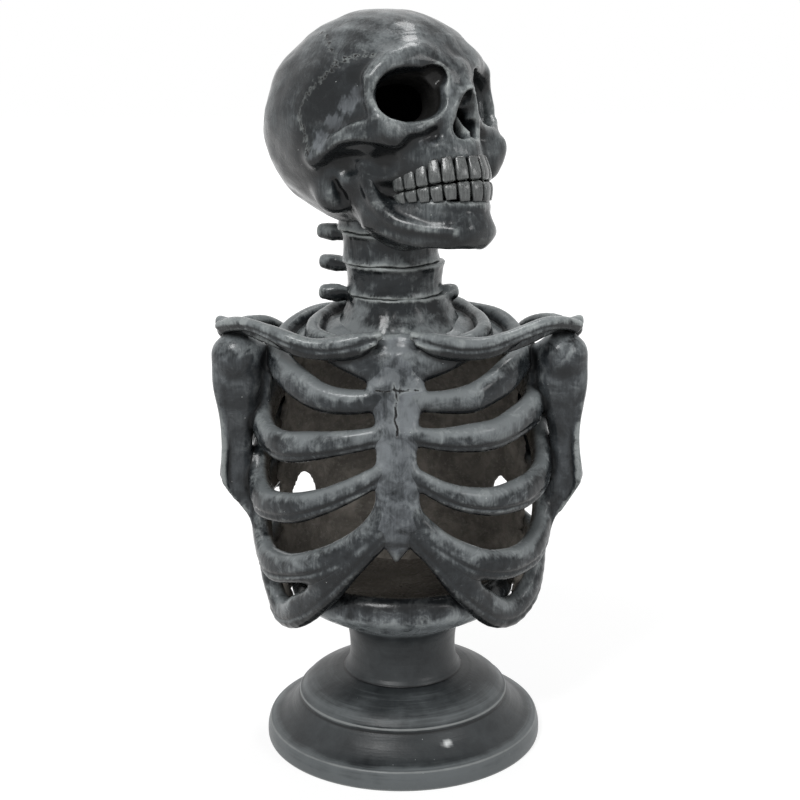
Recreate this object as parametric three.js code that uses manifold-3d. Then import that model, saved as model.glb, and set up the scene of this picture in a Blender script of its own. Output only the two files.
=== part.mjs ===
// Light-up skeleton torso: a hollow skull, a ringed neck, a rib cage with two cut-off upper arms,
// an oval waist ring and a turned foot that holds the batteries.
// Millimetres, +Z up, the breast bone faces -Y, and the foot stands on z = 0.
import * as THREE from 'three';
import { mergeVertices } from 'three/addons/utils/BufferGeometryUtils.js';
import Module from 'manifold-3d';

// Clearances
const seatGap = 0.3;
const wallSeatGap = 0.9;
const cutOverrun = 2;

// Foot
const footRadius = 119;
const footLipHeight = 16.5;
const stepWidth = 30.5;
const stepRadius = footRadius - stepWidth;
const stepHeight = 40.5;
const domeHeight = 57;
const stemRadius = 49.3;
const stemTop = 110;
const footWall = 7;
const stemFloor = 6;
const ledgeWidth = 8.8;
const ledgeDepth = 11;

// Base plate, battery bay and door
const plateInset = 14;
const plateRadius = footRadius - plateInset;
const plateBottom = 5;
const plateThickness = 3;
const cellRadius = 7.25;
const cellLength = 49.5;
const cellPitch = 15.1;
const cellCount = 3;
const cellTipRadius = 2.75;
const cellTipLength = 1;
const bayCentreY = -12;
const bayWall = 1.6;
const contactThickness = 0.6;
const contactHeight = 11;
const contactWidth = 11;
const springLength = 8;
const springRadius = 3.6;
const springTipRadius = 2.4;
const springWire = 0.55;
const springTurns = 2;
const doorThickness = 1.9;
const doorOverlap = 2.6;
const gripHeight = 0.7;
const gripWidth = 1.4;
const gripPitch = 4;
const gripCount = 4;
const railWall = 1.5;
const railLip = 0.9;
const railGrip = 2.2;
const screwInset = 4;
const screwCircle = plateRadius - screwInset;
const screwCount = 4;
const screwRadius = 1.4;
const screwLength = 10;
const screwHeadRadius = 2.8;
const screwHeadHeight = 1.5;

// Switch
const switchX = 66;
const switchLength = 22;
const switchWidth = 9;
const switchHeight = 9;
const knobLength = 6;
const knobWidth = 4;
const knobTravel = 4;
const knobRise = 4;
const knobReach = 2.6;

// Tie tube through foot and chest floor
const tieRadius = 5;
const tieBore = 3.2;
const tieOverhang = 7.5;
const nutWidth = 16;
const nutHeight = 4.5;
const washerRadius = 12;
const washerThickness = 1.2;

// Waist ring
const waistHalfWidth = 84;
const waistFrontShare = 0.87;
const waistBackShare = 0.76;
const waistBottom = 110;
const waistTop = 149;
const waistTube = 12;
const waistFloor = 12;
const nutRecess = 8;

// Rib cage: half sizes at its widest
const cageBase = 100;
const cageHeight = 300;
const cageHalfWidth = 118;
const cageFrontDepth = 88;
const cageBackDepth = 86;

// A height up the cage, from its share of the cage's height.
const heightAt = (share) => cageBase + cageHeight * share;

// Ribs and back wall
const ribHalfHeight = 12;
const ribHalfDepth = 9;
const ribBackHalfDepth = 5.5;
const backWallThickness = 5;
const backWallTop = heightAt(0.7533);
const slotHeight = 25;
const slotCentre = heightAt(0.3433);

// Backbone
const spineRadius = 14;
const spineBottom = heightAt(0.08);
const spineTop = heightAt(0.84);
const discCount = 6;
const spineTipRadius = 4;
const spineTipReach = 7;

// Breast bone
const sternumHalfWidth = 14.5;
const sternumHalfDepth = 6;
const sternumTip = heightAt(0.3033);
const sternumTop = heightAt(0.7517);
const manubriumHalfWidth = 23;
const manubriumTop = heightAt(0.8767);

// Shoulders and arms
const shoulderReach = 39;
const shoulderHalfWidth = cageHalfWidth + shoulderReach;
const collarRadius = 6;
const bladeThickness = 6;
const bladeTop = heightAt(0.8167);
const bladeBottom = heightAt(0.36);
const acromionRadius = 5;
const armTop = heightAt(0.8533);
const armBottom = heightAt(0.32);
const armHeadRadius = 18;
const armShaftRadius = 11.5;

// Neck
const chestTopHalfWidth = 50;
const chestTopThickness = 7;
const neckBaseHeight = heightAt(0.8567);
const neckBaseRadius = 52;
const neckBaseTall = 31.5;
const neckRadius = 39.7;
const neckRingTall = 25.7;
const neckBore = 6;
const neckCentreY = 4;
const spurRadius = 6;
const spurReach = 74;
const spurTurn = 60;
const lugReach = 57.5;
const lugOffset = 8.5;

// Head
const headX = -17.5;
const headY = -2.7;
const headRise = 62.5;
const headYaw = 50;
const headPitch = 14.6;
const headRoll = -6.1;
const skullHalfWidth = 78;
const skullHalfLength = 94;
const skullHalfHeight = 85;
const hollowHalfWidth = 69;
const hollowHalfLength = 82;
const hollowHalfHeight = 76;
const socketX = 37;
const socketHeight = 4;
const socketHalfWidth = 28;
const socketHalfHeight = 23.5;
const noseHalfWidth = 13;
const noseTop = 0;
const noseBottom = -36;
const septum = 2.4;
const archRadius = 5;
const toothHeight = 14;
const toothWidth = 7.4;
const toothDepth = 6;
const toothCount = 12;
const biteGap = 0.6;
const dentalHalfWidth = 33;
const dentalFront = 99;
const dentalBack = 46;
const dentalSpread = 84;
const biteHeight = -65;
const chinHeight = -114;
const jawHalfDepth = 7;
const ramusHalfLength = 15;

// Lead and lamp
const leadRadius = 1.6;
const leadClearance = 0.7;
const holderRadius = 9;
const holderHeight = 14;
const lampRadius = 5;
const lampHeight = 13;

const wasm = await Module();
wasm.setup();

const degrees = Math.PI / 180;
const plateTop = plateBottom + plateThickness;
const bustGroup = new THREE.Group();

// Materials
const finish = (color, roughness, metalness = 0) => (
  new THREE.MeshStandardMaterial({ color, roughness, metalness })
);
const bone = finish(0x3c4347, 0.5);
const boneInside = finish(0x33302c, 0.8);
const blackPlastic = finish(0x17181a, 0.45);
const steel = finish(0x9a9da0, 0.35, 1);
const brass = finish(0xb08d4a, 0.4, 1);
const cellWrap = finish(0x54606a, 0.4);
const leadSkin = finish(0x101112, 0.6);
const lampGlass = finish(0xf2c46a, 0.15);

// A closed mesh whose faces point out, whichever way round its rings were given.
function outward(geometry) {
  geometry.deleteAttribute('normal');
  geometry.deleteAttribute('uv');
  const merged = mergeVertices(geometry, 1e-4);
  const place = merged.attributes.position;
  const corners = merged.index.array;
  const kept = [];
  const a = new THREE.Vector3();
  const b = new THREE.Vector3();
  const c = new THREE.Vector3();
  let volume = 0;
  for (let i = 0; i < corners.length; i += 3) {
    const [p, q, r] = [corners[i], corners[i + 1], corners[i + 2]];
    if (p === q || q === r || r === p) continue;
    kept.push([p, q, r]);
    a.fromBufferAttribute(place, p);
    b.fromBufferAttribute(place, q);
    c.fromBufferAttribute(place, r);
    volume += a.dot(b.cross(c));
  }
  merged.setIndex(kept.flatMap(([p, q, r]) => (volume > 0 ? [p, q, r] : [p, r, q])));
  return merged;
}

function solidOf(geometry) {
  const closed = outward(geometry);
  return new wasm.Manifold(new wasm.Mesh({
    numProp: 3,
    vertProperties: new Float32Array(closed.attributes.position.array),
    triVerts: new Uint32Array(closed.index.array),
  }));
}

function geometryOf(solid) {
  const mesh = solid.getMesh();
  const geometry = new THREE.BufferGeometry();
  geometry.setAttribute('position', new THREE.BufferAttribute(mesh.vertProperties, mesh.numProp));
  geometry.setIndex(new THREE.BufferAttribute(mesh.triVerts, 1));
  geometry.computeVertexNormals();
  return geometry;
}

function addPiece(name, solid, material, group = bustGroup) {
  const mesh = new THREE.Mesh(geometryOf(solid), material);
  mesh.name = name;
  group.add(mesh);
}

const joined = (solids) => solids.reduce((whole, solid) => whole.add(solid));
const cutBy = (solid, cutters) => cutters.reduce((rest, cutter) => rest.subtract(cutter), solid);

// Shapes

// A box between two corners.
function boxSolid(low, high) {
  const geometry = new THREE.BoxGeometry(high[0] - low[0], high[1] - low[1], high[2] - low[2]);
  geometry.translate((low[0] + high[0]) / 2, (low[1] + high[1]) / 2, (low[2] + high[2]) / 2);
  return solidOf(geometry);
}

// A body turned about the Z axis from points of radius and height.
function turned(profile, segments) {
  const geometry = new THREE.LatheGeometry(profile.map(([r, z]) => new THREE.Vector2(r, z)), segments);
  return geometry.rotateX(Math.PI / 2);
}

function cylinderSolid(x, y, radius, bottom, top, segments) {
  const geometry = turned([[0, bottom], [radius, bottom], [radius, top], [0, top]], segments);
  return solidOf(geometry.translate(x, y, 0));
}

// Points at shares of the way from one radius and height to another.
const band = (shares, fromRadius, fromHeight, toRadius, toHeight) => shares.map(([across, up]) => [
  THREE.MathUtils.lerp(fromRadius, toRadius, across),
  THREE.MathUtils.lerp(fromHeight, toHeight, up),
]);

// A skin through rings of equal counts of points, with a fan over each end.
function loft(rings) {
  const count = rings[0].length;
  const points = rings.flat();
  const faces = [];
  for (let i = 0; i < rings.length - 1; i += 1) {
    for (let j = 0; j < count; j += 1) {
      const next = (j + 1) % count;
      const low = i * count;
      const high = low + count;
      faces.push(low + j, low + next, high + next, low + j, high + next, high + j);
    }
  }
  for (const [start, flip] of [[0, true], [(rings.length - 1) * count, false]]) {
    const middle = new THREE.Vector3();
    for (let j = 0; j < count; j += 1) middle.addScaledVector(points[start + j], 1 / count);
    points.push(middle);
    for (let j = 0; j < count; j += 1) {
      const pair = [start + j, start + ((j + 1) % count)];
      if (flip) pair.reverse();
      faces.push(points.length - 1, ...pair);
    }
  }
  const geometry = new THREE.BufferGeometry().setFromPoints(points);
  geometry.setIndex(faces);
  return geometry;
}

// A ring of points: round at roundness 1, squarer below it.
function ring(centre, across, along, halfAcross, halfAlong, sides, roundness = 1) {
  const points = [];
  for (let j = 0; j < sides; j += 1) {
    const turn = (j / sides) * 2 * Math.PI;
    const right = Math.sign(Math.cos(turn)) * Math.abs(Math.cos(turn)) ** roundness;
    const up = Math.sign(Math.sin(turn)) * Math.abs(Math.sin(turn)) ** roundness;
    const point = centre.clone();
    point.addScaledVector(across, right * halfAcross);
    point.addScaledVector(along, up * halfAlong);
    points.push(point);
  }
  return points;
}

// A value read off a table of evenly spaced values, smoothly.
function smoothTable(values) {
  const curve = new THREE.SplineCurve(values.map((value, i) => new THREE.Vector2(i, value)));
  return (share) => curve.getPoint(THREE.MathUtils.clamp(share, 0, 1)).y;
}

// An oval rod along stations of {place, out}. Its half sizes follow tables along its length,
// grow swells it on every side, and a cut made with a swollen rod leaves that gap.
function rod(stations, halfOut, outTable, halfWide, wideTable, sides, grow = 0) {
  const rings = stations.map(({ place, out }, i) => {
    const before = stations[Math.max(i - 1, 0)].place;
    const after = stations[Math.min(i + 1, stations.length - 1)].place;
    const tangent = after.clone().sub(before).normalize();
    const side = new THREE.Vector3().crossVectors(tangent, out).normalize();
    const outSquare = new THREE.Vector3().crossVectors(side, tangent).normalize();
    const share = i / (stations.length - 1);
    const centre = place.clone();
    if (i === 0) centre.addScaledVector(tangent, -grow);
    if (i === stations.length - 1) centre.addScaledVector(tangent, grow);
    const outReach = halfOut * outTable(share) + grow;
    return ring(centre, outSquare, side, outReach, halfWide * wideTable(share) + grow, sides);
  });
  return solidOf(loft(rings));
}

// Evenly spaced stations along a smooth curve through places, with one outward direction.
function curveStations(places, count, out) {
  const curve = new THREE.CatmullRomCurve3(places, false, 'centripetal');
  return curve.getSpacedPoints(count).map((place) => ({ place, out }));
}

const steady = () => 1;
const mirrored = (place, sign) => new THREE.Vector3(place.x * sign, place.y, place.z);
const placesAt = (shares, size, sign = 1, low = 0) => shares.map(([x, y, z]) => (
  new THREE.Vector3(x * size.x * sign, y * size.y, low + z * size.z)
));

// Turned foot
const footFacets = 28;
const lipShares = [[0.995, 0], [1, 0.4], [0.979, 1]];
const coveShares = [[0.2, 0.04], [0.56, 0.22], [0.97, 0.8], [0.966, 1]];
const domeShares = [[0.11, 0.28], [0.41, 0.64], [0.75, 0.9], [0.96, 1]];
const stemShares = [[1, 0.1], [0.95, 0.4], [0.98, 0.7], [1.12, 1]];
const stemTopRadius = stemRadius * stemShares.at(-1)[0];
const ledgeZ = plateTop + seatGap;
const plateSocket = plateRadius + seatGap;
const ledgeInner = plateSocket - ledgeWidth;
const stemBoreRadius = stemRadius - footWall;
const tieHole = tieRadius + seatGap;

function footSolid() {
  const outside = [
    ...band(lipShares, 0, 0, footRadius, footLipHeight),
    ...band(coveShares, footRadius, footLipHeight, stepRadius, stepHeight),
    ...band(domeShares, stepRadius, stepHeight, stemRadius, domeHeight),
    ...band(stemShares, 0, domeHeight, stemRadius, stemTop),
  ];
  const inside = [
    [tieHole, stemTop],
    [tieHole, stemTop - stemFloor],
    [stemBoreRadius, stemTop - stemFloor],
    [stemBoreRadius, domeHeight - footWall],
    [stepRadius - footWall, stepHeight - footWall],
    [ledgeInner, ledgeZ + ledgeDepth],
    [ledgeInner, ledgeZ],
    [plateSocket, ledgeZ],
    [plateSocket, 0],
  ];
  return solidOf(turned([...outside, ...inside, outside[0]], footFacets));
}

const screwPlaces = Array.from({ length: screwCount }, (_, i) => {
  const turn = ((i + 0.5) / screwCount) * 2 * Math.PI;
  return [screwCircle * Math.cos(turn), screwCircle * Math.sin(turn)];
});
const screwTip = plateBottom - seatGap + screwLength;
const screwHoles = (top) => screwPlaces.map(([x, y]) => (
  cylinderSolid(x, y, screwRadius + seatGap, plateBottom - cutOverrun, top, 8)
));

// Base plate with the battery bay, the door's rails and the switch slot
const cellRow = cellPitch * (cellCount - 1) + 2 * cellRadius;
const bayHalfWidth = cellRow / 2 + seatGap;
const bayHalfLength = (cellLength + cellTipLength + springLength + 2 * contactThickness) / 2 + 3 * seatGap;
const cellZ = plateBottom + seatGap + cellRadius;
const bayRoof = cellZ + cellRadius + seatGap;
const doorHalfLength = bayHalfLength + doorOverlap;
const doorHalfWidth = bayHalfWidth + doorOverlap;
const doorTop = plateBottom - seatGap;
const doorBottom = doorTop - doorThickness;
const leadHole = leadRadius + leadClearance;
const bayOutletX = -bayHalfLength / 2;
const slotHalfLength = (knobLength + knobTravel) / 2 + seatGap;
const slotHalfWidth = knobWidth / 2 + seatGap;

function basePlate() {
  const [left, right] = [-bayHalfLength, bayHalfLength];
  const [front, back] = [bayCentreY - bayHalfWidth, bayCentreY + bayHalfWidth];
  const disc = cylinderSolid(0, 0, plateRadius, plateBottom, plateTop, footFacets);
  const bay = boxSolid(
    [left - bayWall, front - bayWall, plateBottom],
    [right + bayWall, back + bayWall, bayRoof + bayWall],
  );
  const hollow = boxSolid([left, front, plateBottom - cutOverrun], [right, back, bayRoof]);
  const rails = [-1, 1].map((side) => {
    const inner = side * (doorHalfLength + seatGap);
    const outer = inner + side * railWall;
    const lip = inner - side * railGrip;
    const span = (a, b) => [Math.min(a, b), Math.max(a, b)];
    const web = span(inner, outer);
    const shelf = span(lip, outer);
    const [low, high] = [bayCentreY - doorHalfWidth, bayCentreY + doorHalfWidth];
    const bottom = doorBottom - seatGap - railLip;
    return boxSolid([web[0], low, bottom], [web[1], high, plateBottom + seatGap]).add(
      boxSolid([shelf[0], low, bottom], [shelf[1], high, doorBottom - seatGap]),
    );
  });
  const switchSlot = boxSolid(
    [switchX - slotHalfLength, -slotHalfWidth, plateBottom - cutOverrun],
    [switchX + slotHalfLength, slotHalfWidth, plateTop + cutOverrun],
  );
  const outletTop = bayRoof + bayWall + cutOverrun;
  const outlet = cylinderSolid(bayOutletX, bayCentreY, leadHole, bayRoof - cutOverrun, outletTop, 8);
  return cutBy(joined([disc, bay]), [hollow, switchSlot, outlet, ...screwHoles(plateTop + cutOverrun)])
    .add(joined(rails));
}
addPiece('base_plate', basePlate(), blackPlastic);

function batteryDoor() {
  const panel = boxSolid(
    [-doorHalfLength, bayCentreY - doorHalfWidth, doorBottom],
    [doorHalfLength, bayCentreY + doorHalfWidth, doorTop],
  );
  const grips = Array.from({ length: gripCount }, (_, i) => {
    const y = bayCentreY + doorHalfWidth - (i + 1) * gripPitch;
    const half = doorHalfLength / 3;
    return boxSolid([-half, y - gripWidth / 2, doorBottom - gripHeight], [half, y + gripWidth / 2, doorTop]);
  });
  return joined([panel, ...grips]);
}
addPiece('battery_door', batteryDoor(), blackPlastic);

screwPlaces.forEach(([x, y], i) => {
  const top = plateBottom - seatGap;
  const screw = turned([
    [0, top - screwHeadHeight],
    [screwHeadRadius, top - screwHeadHeight],
    [screwHeadRadius, top],
    [screwRadius, top],
    [screwRadius, screwTip - screwRadius],
    [0, screwTip],
  ], 8);
  addPiece(`plate_screw_${i + 1}`, solidOf(screw.translate(x, y, 0)), steel);
});

// Three cells in series, turned end for end, and their contacts
const bayEnd = bayHalfLength - seatGap;
const plateFace = bayEnd - contactThickness;
const cellPlaces = Array.from({ length: cellCount }, (_, i) => {
  const facing = i % 2 === 0 ? -1 : 1;
  return { facing, y: bayCentreY + (i - (cellCount - 1) / 2) * cellPitch };
});
cellPlaces.forEach(({ facing, y }, i) => {
  const tip = plateFace - seatGap;
  const cell = turned([
    [0, tip - cellTipLength - cellLength],
    [cellRadius - seatGap, tip - cellTipLength - cellLength],
    [cellRadius - seatGap, tip - cellTipLength],
    [cellTipRadius, tip - cellTipLength],
    [cellTipRadius, tip],
    [0, tip],
  ], 10);
  cell.rotateY(facing * 90 * degrees);
  cell.translate(0, y, cellZ);
  addPiece(`battery_${i + 1}`, solidOf(cell), cellWrap);
});

// A conical spring wound from its plate to its tip.
function contactSpring(side, y) {
  const steps = Math.round(springTurns * 6);
  const reach = springLength - 2 * seatGap;
  const stations = Array.from({ length: steps + 1 }, (_, i) => {
    const share = i / steps;
    const turn = share * springTurns * 2 * Math.PI;
    const radius = THREE.MathUtils.lerp(springRadius, springTipRadius, share);
    const out = new THREE.Vector3(0, Math.cos(turn), Math.sin(turn));
    const place = new THREE.Vector3(side * (plateFace - share * (reach - springWire)), y, cellZ);
    return { place: place.addScaledVector(out, radius), out };
  });
  return rod(stations, springWire, steady, springWire, steady, 4);
}

// One contact: a plate at the bay's end over some cells, with a spring at each flat cell end.
function contact(side, first, last) {
  const low = cellPlaces[first].y - contactWidth / 2;
  const high = cellPlaces[last].y + contactWidth / 2;
  const [near, far] = side > 0 ? [plateFace, bayEnd] : [-bayEnd, -plateFace];
  const plate = boxSolid([near, low, cellZ - contactHeight / 2], [far, high, cellZ + contactHeight / 2]);
  const springs = cellPlaces.slice(first, last + 1).filter(({ facing }) => facing !== side);
  return joined([plate, ...springs.map(({ y }) => contactSpring(side, y))]);
}
addPiece('contact_positive', contact(-1, 0, 0), steel);
addPiece('contact_link_a', contact(1, 0, 1), steel);
addPiece('contact_link_b', contact(-1, 1, 2), steel);
addPiece('contact_negative', contact(1, 2, 2), steel);

// Slide switch
const knobX = switchX - knobTravel / 2;
function switchBody() {
  const bottom = plateTop + seatGap;
  const shell = boxSolid(
    [switchX - switchLength / 2, -switchWidth / 2, bottom],
    [switchX + switchLength / 2, switchWidth / 2, bottom + switchHeight],
  );
  const pocket = boxSolid(
    [switchX - slotHalfLength, -slotHalfWidth, bottom - cutOverrun],
    [switchX + slotHalfLength, slotHalfWidth, bottom + knobRise + seatGap],
  );
  return shell.subtract(pocket);
}
addPiece('switch_body', switchBody(), blackPlastic);
addPiece('switch_knob', boxSolid(
  [knobX - knobLength / 2, -knobWidth / 2, plateBottom - knobReach],
  [knobX + knobLength / 2, knobWidth / 2, plateTop + seatGap + knobRise],
), blackPlastic);

// Tie tube with its nuts and washers
const chestFloor = waistBottom + seatGap + waistFloor;
const footCeiling = stemTop - stemFloor;
const hexNut = (bottom) => {
  const nut = new THREE.CylinderGeometry(nutWidth / Math.sqrt(3), nutWidth / Math.sqrt(3), nutHeight, 6);
  nut.rotateX(Math.PI / 2);
  nut.translate(0, 0, bottom + nutHeight / 2);
  const bore = cylinderSolid(0, 0, tieHole, bottom - cutOverrun, bottom + nutHeight + cutOverrun, 10);
  return solidOf(nut).subtract(bore);
};
const washer = (bottom) => solidOf(turned([
  [tieHole, bottom],
  [washerRadius, bottom],
  [washerRadius, bottom + washerThickness],
  [tieHole, bottom + washerThickness],
  [tieHole, bottom],
], 12));
const recessFloor = chestFloor - nutRecess;
const tieTop = recessFloor + tieOverhang;
const tieBottom = footCeiling - tieOverhang;
addPiece('tie_tube', solidOf(turned([
  [tieBore, tieBottom],
  [tieRadius, tieBottom],
  [tieRadius, tieTop],
  [tieBore, tieTop],
  [tieBore, tieBottom],
], 12)), steel);
addPiece('tie_washer_lower', washer(footCeiling - seatGap - washerThickness), steel);
addPiece('tie_nut_lower', hexNut(footCeiling - 2 * seatGap - washerThickness - nutHeight), brass);
addPiece('tie_washer_upper', washer(recessFloor + seatGap), steel);
addPiece('tie_nut_upper', hexNut(recessFloor + 2 * seatGap + washerThickness), brass);

// The cage: the surface that the middle lines of the ribs lie on
const widthTable = smoothTable([0.86, 0.96, 1.01, 1, 0.935, 0.8, 0.46]);
const frontTable = smoothTable([0.68, 0.91, 1, 0.96, 0.83, 0.63, 0.45]);
const backTable = smoothTable([0.65, 0.85, 0.94, 1, 0.97, 0.87, 0.58]);

// A point of the cage at a turn from the breast bone and a height, set out or in by a distance.
function cagePoint(turn, z, outwards = 0, narrowing = 0) {
  const share = (z - cageBase) / cageHeight;
  const wide = cageHalfWidth * widthTable(share) * (1 - narrowing);
  const front = Math.cos(turn) > 0;
  const deep = front ? cageFrontDepth * frontTable(share) : cageBackDepth * backTable(share);
  const out = new THREE.Vector3(Math.sin(turn) / wide, -Math.cos(turn) / deep, 0).normalize();
  const place = new THREE.Vector3(wide * Math.sin(turn), -deep * Math.cos(turn), z);
  return { place: place.addScaledVector(out, outwards), out };
}

// Stations along a rib, from shares of a half turn and of the cage's height: close together at its bends.
function ribStations(shares, sign, count) {
  const steps = shares.map(([turn, up, narrow = 0]) => new THREE.Vector3(turn, up, narrow));
  const plan = new THREE.CatmullRomCurve3(steps);
  return plan.getPoints(count).map(({ x: turn, y: up, z: narrowing }) => {
    const { place, out } = cagePoint(turn * Math.PI, heightAt(up), 0, narrowing);
    return { place: mirrored(place, sign), out: mirrored(out, sign) };
  });
}

// Each rib: shares of a half turn from the breast bone, and of the cage's height. The two sides differ.
const upperRibShares = [
  [[0.05, 0.79], [0.14, 0.825], [0.27, 0.85, 0.06], [0.46, 0.875, 0.2], [0.7, 0.895, 0.28], [0.85, 0.9, 0.2],
    [0.95, 0.9, 0.1]],
  [[0.03, 0.713], [0.12, 0.708], [0.19, 0.714], [0.26, 0.735], [0.34, 0.762], [0.43, 0.786], [0.56, 0.825],
    [0.75, 0.868], [0.95, 0.87]],
];
const rightRibShares = [
  ...upperRibShares,
  [[0.03, 0.627], [0.11, 0.605], [0.2, 0.585], [0.305, 0.572], [0.42, 0.59], [0.51, 0.63], [0.6, 0.68],
    [0.75, 0.735], [0.95, 0.77]],
  [[0.03, 0.53], [0.1, 0.482], [0.175, 0.44], [0.275, 0.405], [0.4, 0.398], [0.475, 0.435], [0.53, 0.495],
    [0.7, 0.59], [0.95, 0.645]],
  [[0.02, 0.447], [0.06, 0.37], [0.115, 0.313], [0.19, 0.259], [0.29, 0.226], [0.4, 0.217], [0.46, 0.252],
    [0.492, 0.315], [0.54, 0.38], [0.7, 0.435], [0.95, 0.462]],
  [[0.015, 0.392], [0.06, 0.33], [0.11, 0.26], [0.17, 0.185], [0.25, 0.112], [0.35, 0.062], [0.44, 0.07],
    [0.485, 0.135], [0.53, 0.195], [0.7, 0.265], [0.95, 0.3]],
];
const leftRibShares = [
  ...upperRibShares,
  [[0.03, 0.625], [0.1, 0.613], [0.17, 0.609], [0.24, 0.613], [0.32, 0.63], [0.42, 0.65], [0.51, 0.675],
    [0.6, 0.705], [0.75, 0.745], [0.95, 0.77]],
  [[0.03, 0.525], [0.1, 0.475], [0.155, 0.449], [0.22, 0.436], [0.3, 0.436], [0.38, 0.45], [0.455, 0.475],
    [0.51, 0.525], [0.58, 0.565], [0.7, 0.6], [0.95, 0.645]],
  [[0.02, 0.44], [0.06, 0.375], [0.1, 0.33], [0.16, 0.281], [0.225, 0.253], [0.305, 0.245], [0.385, 0.258],
    [0.45, 0.295], [0.5, 0.35], [0.56, 0.395], [0.7, 0.44], [0.95, 0.462]],
  [[0.015, 0.392], [0.055, 0.335], [0.1, 0.268], [0.145, 0.203], [0.2, 0.14], [0.275, 0.087], [0.345, 0.078],
    [0.41, 0.105], [0.46, 0.155], [0.52, 0.205], [0.7, 0.27], [0.95, 0.3]],
];
const ribOutTable = smoothTable([0.6, 0.85, 1, 1, 1, 0.95, 0.8, 0.63, 0.61, 0.61]);
const ribWideTable = smoothTable([0.6, 0.75, 0.9, 1, 1, 1, 0.95, 0.75, 0.62, 0.6]);
const firstRibTable = smoothTable([0.8, 0.9, 0.75, 0.62, 0.6, 0.6]);

function ribSolid(index, sign, grow = 0) {
  const first = index === 0;
  const count = first ? 8 : 15;
  const shares = sign < 0 ? rightRibShares[index] : leftRibShares[index];
  const stations = ribStations(shares, sign, count);
  const outTable = first ? firstRibTable : ribOutTable;
  const wideTable = first ? firstRibTable : ribWideTable;
  return rod(stations, ribHalfDepth, outTable, ribHalfHeight, wideTable, 6, grow);
}

// Back wall: a shell inside the ribs, on a grid of turn and height
function shell(outer, inner, columns, rows) {
  const points = [];
  for (const face of [outer, inner]) {
    for (let i = 0; i <= rows; i += 1) {
      for (let j = 0; j <= columns; j += 1) points.push(face(j / columns, i / rows));
    }
  }
  const at = (layer, i, j) => layer * (rows + 1) * (columns + 1) + i * (columns + 1) + j;
  const faces = [];
  const quad = (a, b, c, d) => faces.push(a, b, c, a, c, d);
  for (let i = 0; i < rows; i += 1) {
    for (let j = 0; j < columns; j += 1) {
      quad(at(0, i, j), at(0, i, j + 1), at(0, i + 1, j + 1), at(0, i + 1, j));
      quad(at(1, i, j), at(1, i + 1, j), at(1, i + 1, j + 1), at(1, i, j + 1));
    }
  }
  for (let j = 0; j < columns; j += 1) {
    quad(at(0, 0, j), at(1, 0, j), at(1, 0, j + 1), at(0, 0, j + 1));
    quad(at(0, rows, j), at(0, rows, j + 1), at(1, rows, j + 1), at(1, rows, j));
  }
  for (let i = 0; i < rows; i += 1) {
    quad(at(0, i, 0), at(0, i + 1, 0), at(1, i + 1, 0), at(1, i, 0));
    quad(at(0, i, columns), at(1, i, columns), at(1, i + 1, columns), at(0, i + 1, columns));
  }
  const geometry = new THREE.BufferGeometry().setFromPoints(points);
  geometry.setIndex(faces);
  return geometry;
}

const backWallEdgeShare = 0.63;
const backWallOut = -(ribBackHalfDepth + wallSeatGap);
const backWallBottom = waistTop + seatGap;

function backWall() {
  const face = (outwards) => (across, up) => {
    const turn = THREE.MathUtils.lerp(backWallEdgeShare, 2 - backWallEdgeShare, across) * Math.PI;
    const z = THREE.MathUtils.lerp(backWallBottom, backWallTop, up);
    return cagePoint(turn, z, outwards).place;
  };
  const wall = solidOf(shell(face(backWallOut), face(backWallOut - backWallThickness), 12, 3));
  const slots = [-1, 1].map((sign) => {
    const rings = [0.75, 1.2].map((reach) => {
      const { place, out } = cagePoint(0.705 * Math.PI, slotCentre);
      const centre = mirrored(place, sign).multiply(new THREE.Vector3(reach, reach, 1));
      const across = new THREE.Vector3(-out.y * sign, out.x, 0);
      return ring(centre, across, new THREE.Vector3(0, 0, 1), slotHeight * 0.6, slotHeight / 2, 8);
    });
    return solidOf(loft(rings));
  });
  return cutBy(wall, slots);
}

// Backbone: discs and waists along the back, with a spur pointing down and back at each
const spineOut = spineRadius - ribBackHalfDepth;
function spineStations() {
  const steps = discCount * 2;
  return Array.from({ length: steps + 1 }, (_, i) => (
    cagePoint(Math.PI, THREE.MathUtils.lerp(spineBottom, spineTop, i / steps), spineOut)
  ));
}

function spineSolid(grow = 0) {
  const stations = spineStations();
  const waists = (share) => 0.9 + 0.1 * Math.cos(share * discCount * 2 * Math.PI);
  const column = rod(stations, spineRadius, waists, spineRadius, waists, 7, grow);
  const spurs = Array.from({ length: discCount }, (_, i) => {
    const { place, out } = stations[i * 2 + 1];
    const tip = place.clone().addScaledVector(out, spineRadius + spineTipReach);
    tip.z -= spineTipReach;
    const path = curveStations([place, place.clone().lerp(tip, 0.5), tip], 2, new THREE.Vector3(1, 0, 0));
    return rod(path, spineTipRadius, smoothTable([1, 1, 0.7]), spineTipRadius * 1.6,
      smoothTable([1.2, 1, 0.6]), 5, grow);
  });
  return joined([column, ...spurs]);
}

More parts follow.
